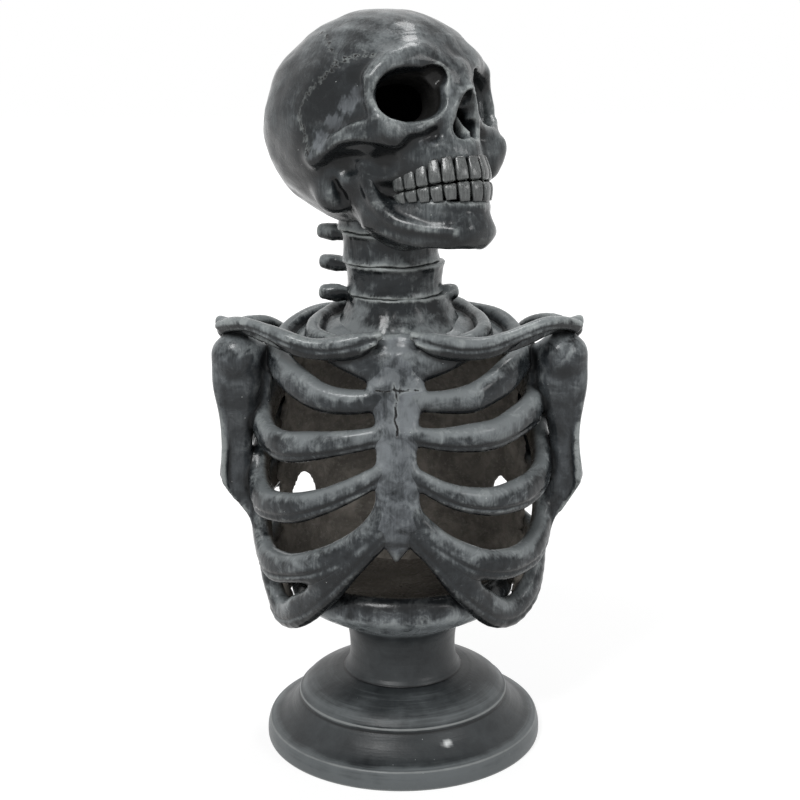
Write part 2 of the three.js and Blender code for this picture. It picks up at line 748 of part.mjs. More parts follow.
// Breast bone in two pieces, lofted up the front of the cage
function plateBone(shares, bottom, top, halfWidth, grow = 0) {
  const rings = shares.map(([up, wide, deep], i) => {
    let z = THREE.MathUtils.lerp(bottom, top, up);
    const { place } = cagePoint(0, z);
    if (i === 0) z -= grow;
    if (i === shares.length - 1) z += grow;
    place.z = z;
    const across = new THREE.Vector3(1, 0, 0);
    const depth = new THREE.Vector3(0, 1, 0);
    return ring(place, across, depth, halfWidth * wide + grow, sternumHalfDepth * deep + grow, 10, 0.75);
  });
  return solidOf(loft(rings));
}
const sternumShares = [[0, 0.18, 0.5], [0.05, 0.5, 0.8], [0.12, 0.85, 1], [0.23, 1.1, 1.05],
  [0.36, 1.02, 1], [0.58, 1, 1], [0.8, 1, 1], [0.94, 1.12, 1], [1, 1.3, 0.95]];
const manubriumShares = [[0, 0.92, 0.95], [0.14, 0.8, 1.05], [0.3, 0.76, 1.1], [0.5, 0.85, 1.15],
  [0.7, 1, 1.15], [0.87, 1.02, 1.1], [1, 0.85, 0.9]];
const manubriumBottom = sternumTop + seatGap;
const sternum = (grow) => plateBone(sternumShares, sternumTip, sternumTop, sternumHalfWidth, grow);

function manubrium(grow = 0) {
  const plate = plateBone(manubriumShares, manubriumBottom, manubriumTop, manubriumHalfWidth, grow);
  const { place } = cagePoint(0, manubriumTop);
  const notch = new THREE.SphereGeometry(manubriumHalfWidth * 0.45, 8, 6);
  notch.translate(place.x, place.y - sternumHalfDepth * 0.6, manubriumTop + manubriumHalfWidth * 0.12);
  return plate.subtract(solidOf(notch));
}

// Collar bones, shoulder blades and upper arms
const shoulderSize = new THREE.Vector3(shoulderHalfWidth, cageFrontDepth, armHeadRadius);
const collarShares = [[0.11, -0.72, 0.35], [0.25, -0.71, 0.25], [0.47, -0.67, 0], [0.7, -0.5, 0.2],
  [0.84, -0.31, 0.42], [0.915, -0.15, 0.22]];
const collarOutTable = smoothTable([1.25, 1.05, 1.1, 0.95, 0.95, 0.8]);
const collarBase = neckBaseHeight + seatGap;
function collarBone(sign, grow = 0) {
  const places = placesAt(collarShares, shoulderSize, sign, collarBase);
  const stations = curveStations(places, 12, new THREE.Vector3(0, 0, 1));
  return rod(stations, collarRadius, collarOutTable, collarRadius * 1.15, collarOutTable, 7, grow);
}

const bladeSize = new THREE.Vector3(shoulderHalfWidth, cageBackDepth, armTop - bladeBottom);
const acromionShares = [[0.5, 0.84, 0.655], [0.6, 0.7, 0.8], [0.69, 0.42, 0.975], [0.8, 0.16, 1.035],
  [0.93, 0, 1.01]];
const bladeOut = ribHalfDepth * 0.75;
function shoulderBlade(sign, grow = 0) {
  const face = (outwards) => (across, up) => {
    const z = THREE.MathUtils.lerp(bladeBottom - grow, bladeTop + grow, up);
    const lateral = THREE.MathUtils.lerp(0.62, 0.5, up);
    const medial = THREE.MathUtils.lerp(0.7, 0.86, Math.min(up * 1.6, 1));
    const turn = THREE.MathUtils.lerp(lateral, medial, across) * Math.PI;
    return mirrored(cagePoint(turn, z, outwards).place, sign);
  };
  const plate = solidOf(shell(face(bladeOut + bladeThickness + grow), face(bladeOut - grow), 6, 4));
  const places = placesAt(acromionShares, bladeSize, sign, bladeBottom);
  const ridge = rod(
    curveStations(places, 7, new THREE.Vector3(0, 0, 1)),
    acromionRadius,
    smoothTable([0.8, 1, 1.1, 1, 0.8]),
    acromionRadius * 1.5,
    smoothTable([0.6, 1, 1.1, 1, 0.8]),
    7,
    grow,
  );
  return plate.add(ridge);
}

const armSize = new THREE.Vector3(shoulderHalfWidth, cageBackDepth, armTop - armBottom);
const armShares = [[0.86, -0.12, 0.985], [0.855, -0.12, 0.93], [0.855, -0.11, 0.84], [0.86, -0.08, 0.7],
  [0.87, -0.05, 0.5], [0.885, -0.03, 0.3], [0.885, -0.02, 0.12], [0.86, -0.02, -0.04]];
const armWideTable = smoothTable([1.3, 1.9, 1.9, 1.3, 0.95, 0.95, 1.15, 1.2, 1.2]);
const armDeepTable = smoothTable([0.8, 1.4, 1.5, 1.2, 0.95, 0.9, 1, 1.1, 1.1]);
function upperArm(sign, grow = 0) {
  const places = placesAt(armShares, armSize, sign, armBottom);
  const bar = rod(curveStations(places, 10, new THREE.Vector3(1, 0, 0)), armShaftRadius, armWideTable,
    armShaftRadius, armDeepTable, 8, grow);
  // The lower end is cut off on a slant that drops towards the ribs.
  const size = armTop - armBottom;
  const cutHigh = new THREE.Vector3(sign * shoulderHalfWidth * 0.97, 0, armBottom + size * 0.24);
  const cutLow = new THREE.Vector3(sign * shoulderHalfWidth * 0.8, 0, armBottom - size * 0.02);
  const slope = Math.atan2(cutHigh.z - cutLow.z, (cutHigh.x - cutLow.x) * sign);
  const block = new THREE.BoxGeometry(size, size, size);
  block.translate(0, 0, -size / 2);
  block.rotateY(-slope * sign);
  block.translate((cutHigh.x + cutLow.x) / 2, 0, (cutHigh.z + cutLow.z) / 2);
  return bar.subtract(solidOf(block));
}

// Neck: a flared base ring and three stacked rings, each bored for the lead
const neckCentres = [0, -0.08, -0.16, -0.25].map((share) => share * neckRadius);
const spurLengths = [0, 1, 0.97, 0.9].map((share) => share * spurReach);
const neckBottoms = [0, 1, 2, 3].map((i) => (
  neckBaseHeight + (i > 0 ? neckBaseTall + seatGap + (i - 1) * (neckRingTall + seatGap) : 0)
));
const baseRingShares = [[1, 0], [0.98, 0.15], [0.85, 0.5], [0.79, 0.8], [0.79, 1]];
const neckRingShares = [[1, 0], [0.97, 0.25], [0.97, 0.7], [1, 1]];

const spurTable = smoothTable([0.9, 0.9, 1.1, 0.85]);
function neckRing(index, grow = 0) {
  const base = index === 0;
  const radius = base ? neckBaseRadius : neckRadius;
  const tall = base ? neckBaseTall : neckRingTall;
  const bottom = neckBottoms[index];
  const outside = band(base ? baseRingShares : neckRingShares, 0, bottom, radius, bottom + tall);
  const swollen = outside.map(([r, z]) => [r + grow, z]);
  swollen[0][1] -= grow;
  swollen.at(-1)[1] += grow;
  const drum = solidOf(turned([[0, bottom - grow], ...swollen, [0, bottom + tall + grow]], 20)
    .translate(neckCentres[index], neckCentreY, 0));
  const stub = (turn, from, to, up) => {
    const out = new THREE.Vector3(-Math.sin(turn), Math.cos(turn), 0);
    const place = (reach) => new THREE.Vector3(neckCentres[index], neckCentreY, bottom + tall * up)
      .addScaledVector(out, reach);
    const places = [place(from), place((from + to) / 2), place(to)];
    const path = curveStations(places, 3, new THREE.Vector3(0, 0, 1));
    return rod(path, spurRadius, spurTable, spurRadius * 1.1, spurTable, 6, grow);
  };
  const inner = neckRadius * 0.7;
  if (base) {
    const lugs = [-1, 1].map((side) => stub(side * Math.PI / 2, inner, lugReach + side * lugOffset, 0.92));
    return joined([drum, ...lugs]);
  }
  return drum.add(stub(spurTurn * degrees, inner, spurLengths[index], 0.66));
}
const neckTop = neckBottoms[3] + neckRingTall;

// Closed top of the chest, a shallow dome inside the first ribs that the neck stands on
const chestTopBottom = neckBaseHeight - seatGap - chestTopThickness;
function chestTop() {
  const top = neckBaseHeight - seatGap;
  const dome = turned([
    [0, chestTopBottom],
    [chestTopHalfWidth, chestTopBottom],
    [chestTopHalfWidth, top],
    [0, top],
  ], 22);
  return solidOf(dome.translate(0, neckCentreY, 0));
}

// Lead: from the battery bay up the back of the foot's stem, through the waist ring's floor,
// up the backbone, forward under the chest top and up the neck to the lamp holder.
const holderBottom = neckTop + 2 * seatGap;
const leadPlaces = [
  [bayOutletX, bayCentreY, bayRoof + seatGap],
  [bayOutletX, bayCentreY, bayRoof + stemFloor * 2],
  [bayOutletX / 2, 6, domeHeight],
  [0, 29, 92],
  [0, 31, footCeiling],
  [0, 33, stemTop],
  [0, 40, waistBottom + waistFloor / 2],
  [0, 56, waistBottom + waistFloor],
  [0, 68, heightAt(0.1)],
  [0, 76, heightAt(0.14)],
  [0, 84, heightAt(0.217)],
  [0, 90, heightAt(0.333)],
  [0, 94, heightAt(0.467)],
  [0, 93, heightAt(0.6)],
  [0, 87, heightAt(0.687)],
  [0, 76, heightAt(0.76)],
  [0, 54, heightAt(0.79)],
  [0, 28, heightAt(0.8)],
  [0, neckCentreY + neckBore, heightAt(0.823)],
  [0, neckCentreY, neckBaseHeight + leadRadius * 2],
  [neckCentres[1], neckCentreY, neckBottoms[1] + neckRingTall / 2],
  [neckCentres[2], neckCentreY, neckBottoms[2] + neckRingTall / 2],
  [neckCentres[3], neckCentreY, neckBottoms[3] + neckRingTall / 2],
  [neckCentres[3], neckCentreY, holderBottom + holderHeight / 2],
].map(([x, y, z]) => new THREE.Vector3(x, y, z));
const leadRod = (radius) => rod(
  curveStations(leadPlaces, 33, new THREE.Vector3(1, 0, 0)), radius, steady, radius, steady, 5,
);
const leadChannel = leadRod(leadRadius + leadClearance);
addPiece('lead', leadRod(leadRadius), leadSkin);
addPiece('pedestal_foot', cutBy(footSolid(), [...screwHoles(screwTip + seatGap), leadChannel]), bone);

// Waist ring: round where it meets the stem, oval at its rim, hollow above its floor
function waistRing() {
  const rimRadius = waistHalfWidth + waistTube * 0.85;
  const low = waistBottom + seatGap;
  const rimLow = waistTop - 2 * waistTube;
  const profile = [
    [tieHole, low],
    [stemTopRadius, low],
    [(stemTopRadius + waistHalfWidth) / 2, low + waistFloor / 12],
    [waistHalfWidth, rimLow - waistTube * 0.3],
    [rimRadius - waistTube * 0.2, rimLow + waistTube * 0.35],
    [rimRadius, rimLow + waistTube],
    [waistHalfWidth, waistTop],
    [waistHalfWidth - waistTube, rimLow + waistTube],
    [waistHalfWidth - waistTube * 1.8, rimLow],
    [stemTopRadius, chestFloor + waistFloor / 8],
    [stemTopRadius * 0.8, chestFloor],
    [washerRadius + seatGap, chestFloor],
    [washerRadius + seatGap, recessFloor],
    [tieHole, recessFloor],
    [tieHole, low],
  ];
  const geometry = turned(profile, 22);
  const place = geometry.attributes.position;
  for (let i = 0; i < place.count; i += 1) {
    const [x, y] = [place.getX(i), place.getY(i)];
    const blend = THREE.MathUtils.smoothstep(Math.hypot(x, y), stemTopRadius, waistHalfWidth);
    const share = y < 0 ? waistFrontShare : waistBackShare;
    place.setY(i, y * THREE.MathUtils.lerp(1, share, blend));
  }
  return solidOf(geometry);
}

// Skull in its own frame: X to its left, -Y forward, Z up, centred in the brain case.
// Its surface is a smooth union of ovals, each seen from the centre: one radius for every direction.
const skullOvals = [
  { at: [0, -0.01, 0], half: [1.02, 1.01, 0.985] },
  { at: [0, 0.34, 0.26], half: [0.86, 0.64, 0.62] },
  { at: [0.4, 0.68, 0.22], half: [0.42, 0.3, 0.16], pair: true },
  { at: [0.71, 0.6, -0.08], half: [0.15, 0.2, 0.38], pair: true },
  { at: [0.6, 0.56, -0.4], half: [0.3, 0.3, 0.22], pair: true },
  { at: [0, 0.64, -0.5], half: [0.5, 0.42, 0.31] },
  { at: [0, 0.84, -0.02], half: [0.2, 0.18, 0.3] },
  { at: [0.66, -0.1, -0.62], half: [0.2, 0.18, 0.24], pair: true },
];
const skullSize = [skullHalfWidth, skullHalfLength, skullHalfHeight];

// Distance from the centre to an oval's far side along a direction, or 0 where the direction misses it.
function ovalReach(direction, at, half) {
  let [a, b, c] = [0, 0, -1];
  for (let k = 0; k < 3; k += 1) {
    const along = direction[k] / (half[k] * skullSize[k]);
    const offset = at[k] / half[k];
    a += along * along;
    b += along * offset;
    c += offset * offset;
  }
  const root = b * b - a * c;
  return root > 0 ? Math.max((b + Math.sqrt(root)) / a, 0) : 0;
}

const unionSharpness = 24;
function skullRadius(direction) {
  let sum = 0;
  for (const { at, half, pair } of skullOvals) {
    for (const sign of pair ? [-1, 1] : [1]) {
      const reach = ovalReach(direction, [at[0] * sign, at[1], at[2]], half);
      sum += (reach / skullHalfWidth) ** unionSharpness;
    }
  }
  return skullHalfWidth * sum ** (1 / unionSharpness);
}

// The grid is finer towards the face.
function skullOutside(grow = 0) {
  const geometry = new THREE.SphereGeometry(1, 28, 17);
  const place = geometry.attributes.position;
  for (let i = 0; i < place.count; i += 1) {
    const around = Math.atan2(place.getX(i), place.getZ(i));
    const turn = around - 0.35 * Math.sin(around);
    const flat = Math.hypot(place.getX(i), place.getZ(i));
    const direction = [flat * Math.sin(turn), flat * Math.cos(turn), place.getY(i)];
    const radius = skullRadius(direction) + grow;
    place.setXYZ(i, direction[0] * radius, -direction[1] * radius, direction[2] * radius);
  }
  return solidOf(geometry);
}

// Eye socket cutter: rings along the forward axis, drawn in towards the back.
const socketShares = [[1.3, 1.08, 1.08], [0.82, 1, 1], [0.66, 0.82, 0.84], [0.5, 0.52, 0.54],
  [0.25, 0.46, 0.46]];
function socketCutter(side) {
  const rings = socketShares.map(([forward, wide, tall]) => {
    const inset = (1 - forward) * socketHalfWidth * 0.9;
    const centre = new THREE.Vector3(side * (socketX - inset), -forward * skullHalfLength, socketHeight);
    const across = new THREE.Vector3(1, 0, side * -0.12).normalize();
    const up = new THREE.Vector3(0, 0, 1);
    return ring(centre, across, up, socketHalfWidth * wide, socketHalfHeight * tall, 8, 0.8);
  });
  return solidOf(loft(rings));
}

function noseCutter() {
  const outline = new THREE.Shape();
  const middle = (noseTop + noseBottom) / 2;
  outline.moveTo(0, noseTop);
  outline.quadraticCurveTo(noseHalfWidth * 0.7, middle, noseHalfWidth, noseBottom * 0.82);
  outline.quadraticCurveTo(noseHalfWidth * 0.7, noseBottom * 1.05, 0, noseBottom * 0.92);
  outline.quadraticCurveTo(-noseHalfWidth * 0.7, noseBottom * 1.05, -noseHalfWidth, noseBottom * 0.82);
  outline.quadraticCurveTo(-noseHalfWidth * 0.7, middle, 0, noseTop);
  const depth = skullHalfLength * 0.55;
  const geometry = new THREE.ExtrudeGeometry(outline, { depth, bevelEnabled: false, curveSegments: 3 });
  geometry.rotateX(Math.PI / 2);
  geometry.translate(0, -skullHalfLength * 0.62, 0);
  const wall = boxSolid(
    [-septum / 2, -skullHalfLength * 0.93, noseBottom * 1.2],
    [septum / 2, 0, noseTop],
  );
  return solidOf(geometry).subtract(wall);
}

// Cheek arches from the cheek bones back to above the ear holes.
const archShares = [[0.66, 0.66, -0.3], [0.84, 0.46, -0.31], [0.9, 0.22, -0.34], [0.85, 0, -0.34],
  [0.7, -0.14, -0.3]];
function cheekArch(side, grow = 0) {
  const places = archShares.map(([x, forward, z]) => (
    new THREE.Vector3(side * x * skullHalfWidth, -forward * skullHalfLength, z * skullHalfHeight)
  ));
  const table = smoothTable([1.4, 1, 0.9, 1, 1.2]);
  const stations = curveStations(places, 7, new THREE.Vector3(side, 0, 0));
  return rod(stations, archRadius, table, archRadius * 1.3, table, 7, grow);
}

// Teeth along the dental arch, a half oval open to the back.
const dentalPlace = (turn, z) => new THREE.Vector3(
  dentalHalfWidth * Math.sin(turn),
  -(dentalBack + (dentalFront - dentalBack) * Math.cos(turn)),
  z,
);
function teeth(root, edge) {
  const spread = dentalSpread * degrees;
  return Array.from({ length: toothCount }, (_, i) => {
    const turn = THREE.MathUtils.lerp(-spread, spread, (i + 0.5) / toothCount);
    const ahead = dentalPlace(turn + degrees, 0).sub(dentalPlace(turn - degrees, 0));
    const tooth = new THREE.BoxGeometry(toothWidth, toothDepth, Math.abs(edge - root));
    tooth.rotateZ(Math.atan2(ahead.y, ahead.x));
    const { x, y } = dentalPlace(turn, 0);
    return solidOf(tooth.translate(x, y, (root + edge) / 2));
  });
}

// The gum ridge that carries one row of teeth.
function gum(z, halfHeight) {
  const gumShares = [-1, -0.7, -0.35, 0, 0.35, 0.7, 1];
  const places = gumShares.map((share) => dentalPlace(share * dentalSpread * degrees, z));
  const table = smoothTable([0.8, 1, 1, 0.8]);
  const stations = curveStations(places, 8, new THREE.Vector3(0, 0, 1));
  return rod(stations, halfHeight, table, toothDepth * 0.8, table, 6);
}

const headGroup = new THREE.Group();
headGroup.position.set(headX, headY, neckTop + headRise);
headGroup.rotation.set(-headPitch * degrees, -headRoll * degrees, headYaw * degrees, 'ZXY');
headGroup.updateMatrixWorld();
bustGroup.add(headGroup);
const intoHead = headGroup.matrixWorld.clone().invert();
const inHead = (solid) => solidOf(geometryOf(solid).applyMatrix4(intoHead));

// Hollows in the skull's sides: the temple, the pit inside the cheek arch and the one below the cheek bone.
const pitShares = [
  { at: [1.06, 0.45, -0.05], half: [0.21, 0.27, 0.4] },
  { at: [0.92, 0.28, -0.54], half: [0.26, 0.36, 0.18] },
  { at: [0.6, 0.5, -0.62], half: [0.2, 0.19, 0.18] },
];
function skullPit(side, { at, half }) {
  const pit = new THREE.SphereGeometry(1, 8, 5);
  pit.scale(...half.map((share, k) => share * skullSize[k]));
  pit.translate(side * at[0] * skullHalfWidth, -at[1] * skullHalfLength, at[2] * skullHalfHeight);
  return solidOf(pit);
}
const skullPits = [-1, 1].flatMap((side) => pitShares.map((pit) => skullPit(side, pit)));

const neckSeat = [2, 3].map((i) => inHead(neckRing(i, seatGap)));
const lampWell = inHead(cylinderSolid(
  neckCentres[3], neckCentreY, holderRadius + seatGap, neckTop - cutOverrun, neckTop + holderHeight * 4, 12,
));

function skull() {
  const hollow = new THREE.SphereGeometry(1, 9, 6);
  hollow.scale(hollowHalfWidth, hollowHalfLength, hollowHalfHeight);
  hollow.translate(0, (skullHalfLength - hollowHalfLength) / 3, 0);
  const bare = joined([cutBy(skullOutside(), skullPits), cheekArch(-1), cheekArch(1)]);
  const outside = cutBy(bare, [socketCutter(-1), socketCutter(1), noseCutter()]);
  const upperTeeth = teeth(biteHeight + toothHeight, biteHeight);
  upperTeeth.push(gum(biteHeight + toothHeight, toothHeight / 2));
  return cutBy(joined([outside, ...upperTeeth]), [solidOf(hollow), ...neckSeat, lampWell]);
}
addPiece('skull', skull(), bone, headGroup);

// Lower jaw: a U-shaped body, two upright plates behind it, a chin and its teeth
const jawShares = [[1.4, 0.27, 0.72], [1.32, 0.5, 0.8], [1.08, 0.74, 0.85], [0.62, 0.9, 0.89],
  [0, 0.93, 0.89]];
const ramusShares = [[1.72, 0.1, 0.22], [1.64, 0.14, 0.45], [1.48, 0.26, 0.72]];
function jaw() {
  const jawPlace = ([x, forward, down], side) => new THREE.Vector3(
    side * x * dentalHalfWidth, -forward * skullHalfLength, down * chinHeight,
  );
  const right = jawShares.map((shares) => jawPlace(shares, -1));
  const left = jawShares.slice(0, -1).reverse().map((shares) => jawPlace(shares, 1));
  const body = rod(
    curveStations([...right, ...left], 14, new THREE.Vector3(0, 0, 1)),
    -chinHeight * 0.13,
    smoothTable([0.8, 1, 1.05, 1.05, 1.05, 1, 0.8]),
    jawHalfDepth,
    smoothTable([0.7, 0.9, 1, 1.1, 1, 0.9, 0.7]),
    7,
  );
  const plates = [-1, 1].map((side) => rod(
    curveStations(ramusShares.map((shares) => jawPlace(shares, side)), 4, new THREE.Vector3(0, -1, 0)),
    ramusHalfLength,
    smoothTable([0.6, 0.95, 1]),
    jawHalfDepth * 0.7,
    smoothTable([0.8, 0.9, 1]),
    6,
  ));
  const chin = new THREE.SphereGeometry(1, 8, 6);
  chin.scale(dentalHalfWidth * 0.62, jawHalfDepth * 1.3, -chinHeight * 0.11);
  chin.translate(0, -skullHalfLength * 0.93, chinHeight * 0.9);
  const top = biteHeight - biteGap;
  const lowerTeeth = teeth(top - toothHeight, top);
  lowerTeeth.push(gum(top - toothHeight, toothHeight / 2));
  const rings = [1, 2, 3].map((i) => inHead(neckRing(i, seatGap)));
  const arches = [-1, 1].map((side) => cheekArch(side, seatGap));
  const keepOut = [skullOutside(seatGap), ...arches, ...teethKeepOut(), ...rings];
  return cutBy(joined([body, ...plates, solidOf(chin), ...lowerTeeth]), keepOut);
}

// The space that the upper teeth need above the bite line.
function teethKeepOut() {
  return [boxSolid(
    [-dentalHalfWidth - toothDepth, -dentalFront - toothDepth, biteHeight - biteGap],
    [dentalHalfWidth + toothDepth, -dentalBack + toothDepth, biteHeight + toothHeight],
  )];
}
addPiece('jaw', jaw(), bone, headGroup);

// Lamp in its holder, on top of the neck inside the skull
const leadEnd = holderBottom + holderHeight * 0.6;
const leadCut = cylinderSolid(
  neckCentres[3], neckCentreY, leadRadius + leadClearance, holderBottom - cutOverrun, leadEnd, 8,
);
addPiece('lamp_holder', solidOf(turned([
  [0, holderBottom],
  [holderRadius, holderBottom],
  [holderRadius, holderBottom + holderHeight * 0.4],
  [holderRadius * 0.8, holderBottom + holderHeight],
  [0, holderBottom + holderHeight],
], 12).translate(neckCentres[3], neckCentreY, 0)).subtract(leadCut), blackPlastic);
const lampBottom = holderBottom + holderHeight + seatGap;
addPiece('lamp', solidOf(turned([
  [0, lampBottom],
  [lampRadius * 1.15, lampBottom],
  [lampRadius * 1.15, lampBottom + lampHeight * 0.12],
  [lampRadius, lampBottom + lampHeight * 0.12],
  [lampRadius, lampBottom + lampHeight * 0.6],
  [lampRadius * 0.7, lampBottom + lampHeight * 0.9],
  [0, lampBottom + lampHeight],
], 12).translate(neckCentres[3], neckCentreY, 0)), lampGlass);

// Bones, each cut back from the ones that it is bonded to
const sides = [{ name: 'right', sign: -1 }, { name: 'left', sign: 1 }];
addPiece('sternum', sternum(0), bone);
addPiece('manubrium', manubrium(), bone);
const spineSeat = spineSolid(seatGap);
addPiece('thoracic_spine', spineSolid().subtract(leadChannel), bone);
const breastSeats = [sternum(seatGap), manubrium(seatGap)];
const ringCutters = [spineSeat, leadChannel];
const chestTopCutters = [spineSeat, leadChannel, ...breastSeats];
const neckBaseCutters = [];
const wallCutters = [spineSeat];
for (const { name, sign } of sides) {
  const collarSeat = collarBone(sign, seatGap);
  const bladeSeat = shoulderBlade(sign, seatGap);
  addPiece(`collar_bone_${name}`, collarBone(sign).subtract(breastSeats[1]), bone);
  rightRibShares.forEach((_, index) => {
    const cutters = [...breastSeats, spineSeat, collarSeat];
    if (index > 0) cutters.push(ribSolid(index - 1, sign, seatGap));
    addPiece(`rib_${name}_${index + 1}`, cutBy(ribSolid(index, sign), cutters), bone);
  });
  const ribSeats = [1, 2, 3, 4].map((index) => ribSolid(index, sign, seatGap));
  addPiece(`shoulder_blade_${name}`, cutBy(shoulderBlade(sign), [collarSeat, ...ribSeats]), bone);
  addPiece(`upper_arm_${name}`, cutBy(upperArm(sign), [bladeSeat, collarSeat, ...ribSeats]), bone);
  ringCutters.push(ribSolid(5, sign, seatGap), ribSolid(4, sign, seatGap));
  wallCutters.push(...[2, 3, 4, 5].map((index) => ribSolid(index, sign, seatGap)));
  chestTopCutters.push(ribSolid(0, sign, seatGap), ribSolid(1, sign, seatGap), collarSeat);
  neckBaseCutters.push(ribSolid(0, sign, seatGap), collarSeat);
}
addPiece('back_wall', cutBy(backWall(), wallCutters), boneInside);
addPiece('waist_ring', cutBy(waistRing(), ringCutters), bone);
addPiece('chest_top', cutBy(chestTop(), chestTopCutters), boneInside);
const baseBore = cylinderSolid(
  0, neckCentreY, neckBore, chestTopBottom - cutOverrun, neckBottoms[1] + cutOverrun, 10,
);
neckCentres.forEach((x, i) => {
  const bore = i === 0 ? baseBore : cylinderSolid(
    x, neckCentreY, neckBore, neckBottoms[i] - cutOverrun, neckBottoms[i] + neckRingTall + cutOverrun, 10,
  );
  const cutters = i === 0 ? [bore, ...neckBaseCutters, ...breastSeats] : [bore];
  if (i === 1) cutters.push(neckRing(0, seatGap));
  addPiece(`neck_ring_${i + 1}`, cutBy(neckRing(i), cutters), bone);
});

export default bustGroup;
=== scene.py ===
import bpy
import numpy as np
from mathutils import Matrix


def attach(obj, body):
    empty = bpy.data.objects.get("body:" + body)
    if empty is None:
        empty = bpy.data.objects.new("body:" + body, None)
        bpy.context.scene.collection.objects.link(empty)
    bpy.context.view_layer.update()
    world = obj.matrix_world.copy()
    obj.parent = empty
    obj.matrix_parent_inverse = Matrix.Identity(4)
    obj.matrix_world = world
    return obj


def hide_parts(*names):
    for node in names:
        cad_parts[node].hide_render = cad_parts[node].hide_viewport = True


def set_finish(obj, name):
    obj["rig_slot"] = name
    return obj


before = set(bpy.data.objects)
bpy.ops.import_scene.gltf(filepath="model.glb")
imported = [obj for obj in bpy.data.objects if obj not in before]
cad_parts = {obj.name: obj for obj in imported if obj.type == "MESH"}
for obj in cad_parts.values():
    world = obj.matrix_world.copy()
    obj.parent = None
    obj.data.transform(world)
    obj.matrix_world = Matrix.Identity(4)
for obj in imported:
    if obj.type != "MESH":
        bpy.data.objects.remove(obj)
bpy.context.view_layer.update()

import openvdb
from mathutils import Matrix

mm = 0.001
rad = np.pi / 180

# camera, light and floor
stage = {
    "cameraReach": 1300.0,      # mm, level distance to the object's axis
    "cameraHeight": 645.0,
    "cameraTurn": 2.0,          # degrees to the object's left
    "cameraPitch": 15.0,
    "cameraRoll": 0.6,
    "lens": 72.77,
    "keyWatts": 29.0,
    "fillWatts": 7.0,
    "backWatts": 12.0,
    "roomStrength": 0.34,
    "floorTone": 0.9,
    "floorGlow": 0.6,           # share of plain white in what the camera sees of the floor beside the object
    "floorWhite": 1.25,
    "floorHalf": 6,             # m
}


def unit(v):
    v = np.asarray(v, float)
    return v / np.maximum(np.linalg.norm(v, axis=-1, keepdims=True), 1e-9)


def makeCamera(s):
    turn, pitch, roll = s["cameraTurn"] * rad, s["cameraPitch"] * rad, s["cameraRoll"] * rad
    place = np.array([np.sin(turn) * s["cameraReach"], -np.cos(turn) * s["cameraReach"], s["cameraHeight"]])
    forward = np.array([-np.sin(turn) * np.cos(pitch), np.cos(turn) * np.cos(pitch), -np.sin(pitch)])
    right = np.array([np.cos(turn), np.sin(turn), 0.0])
    up = np.cross(right, forward)
    across = np.cos(roll) * right - np.sin(roll) * up
    upward = np.sin(roll) * right + np.cos(roll) * up
    data = bpy.data.cameras.new("camera")
    data.lens = s["lens"]
    data.sensor_width = 36.0
    data.clip_start = 0.05
    camera = bpy.data.objects.new("camera", data)
    columns = np.stack([across, upward, -forward, place * mm], axis=1)
    camera.matrix_world = Matrix(columns.tolist() + [[0, 0, 0, 1]])
    bpy.context.scene.collection.objects.link(camera)
    bpy.context.scene.camera = camera


def softLamp(name, place, aim, size, watts):
    data = bpy.data.lights.new(name, "AREA")
    data.shape = "DISK"
    data.size = size
    data.energy = watts
    lamp = bpy.data.objects.new(name, data)
    back = unit(np.array(place) - np.array(aim))
    side = unit(np.cross([0.0, 0.0, 1.0], back))
    columns = np.stack([side, np.cross(back, side), back, np.array(place)], axis=1)
    lamp.matrix_world = Matrix(columns.tolist() + [[0, 0, 0, 1]])
    bpy.context.scene.collection.objects.link(lamp)


# shader maths
class Value:
    # a socket or a number; sums on it add the Math nodes that work them out
    def __init__(self, paint, link):
        self.paint = paint
        self.link = link

    def sum(self, operation, *others, clamp=False):
        settings = {"operation": operation, "use_clamp": clamp}
        made = self.paint.node("ShaderNodeMath", settings, [self, *others])
        return Value(self.paint, made.outputs[0])

    def __add__(self, other):
        return self.sum("ADD", other)

    def __sub__(self, other):
        return self.sum("SUBTRACT", other)

    def __rsub__(self, other):
        return Value(self.paint, other).sum("SUBTRACT", self)

    def __mul__(self, other):
        return self.sum("MULTIPLY", other)

    def __pow__(self, other):
        return self.sum("POWER", other)

    __radd__ = __add__
    __rmul__ = __mul__

    def clamp(self):
        return self.sum("ADD", 0.0, clamp=True)

    def most(self, other):
        return self.sum("MAXIMUM", other)

    def rise(self, low, high):
        # 0 below low, 1 above high, smooth between
        made = self.paint.node("ShaderNodeMapRange", {"interpolation_type": "SMOOTHSTEP"},
                               {"Value": self, "From Min": low, "From Max": high})
        return Value(self.paint, made.outputs[0])


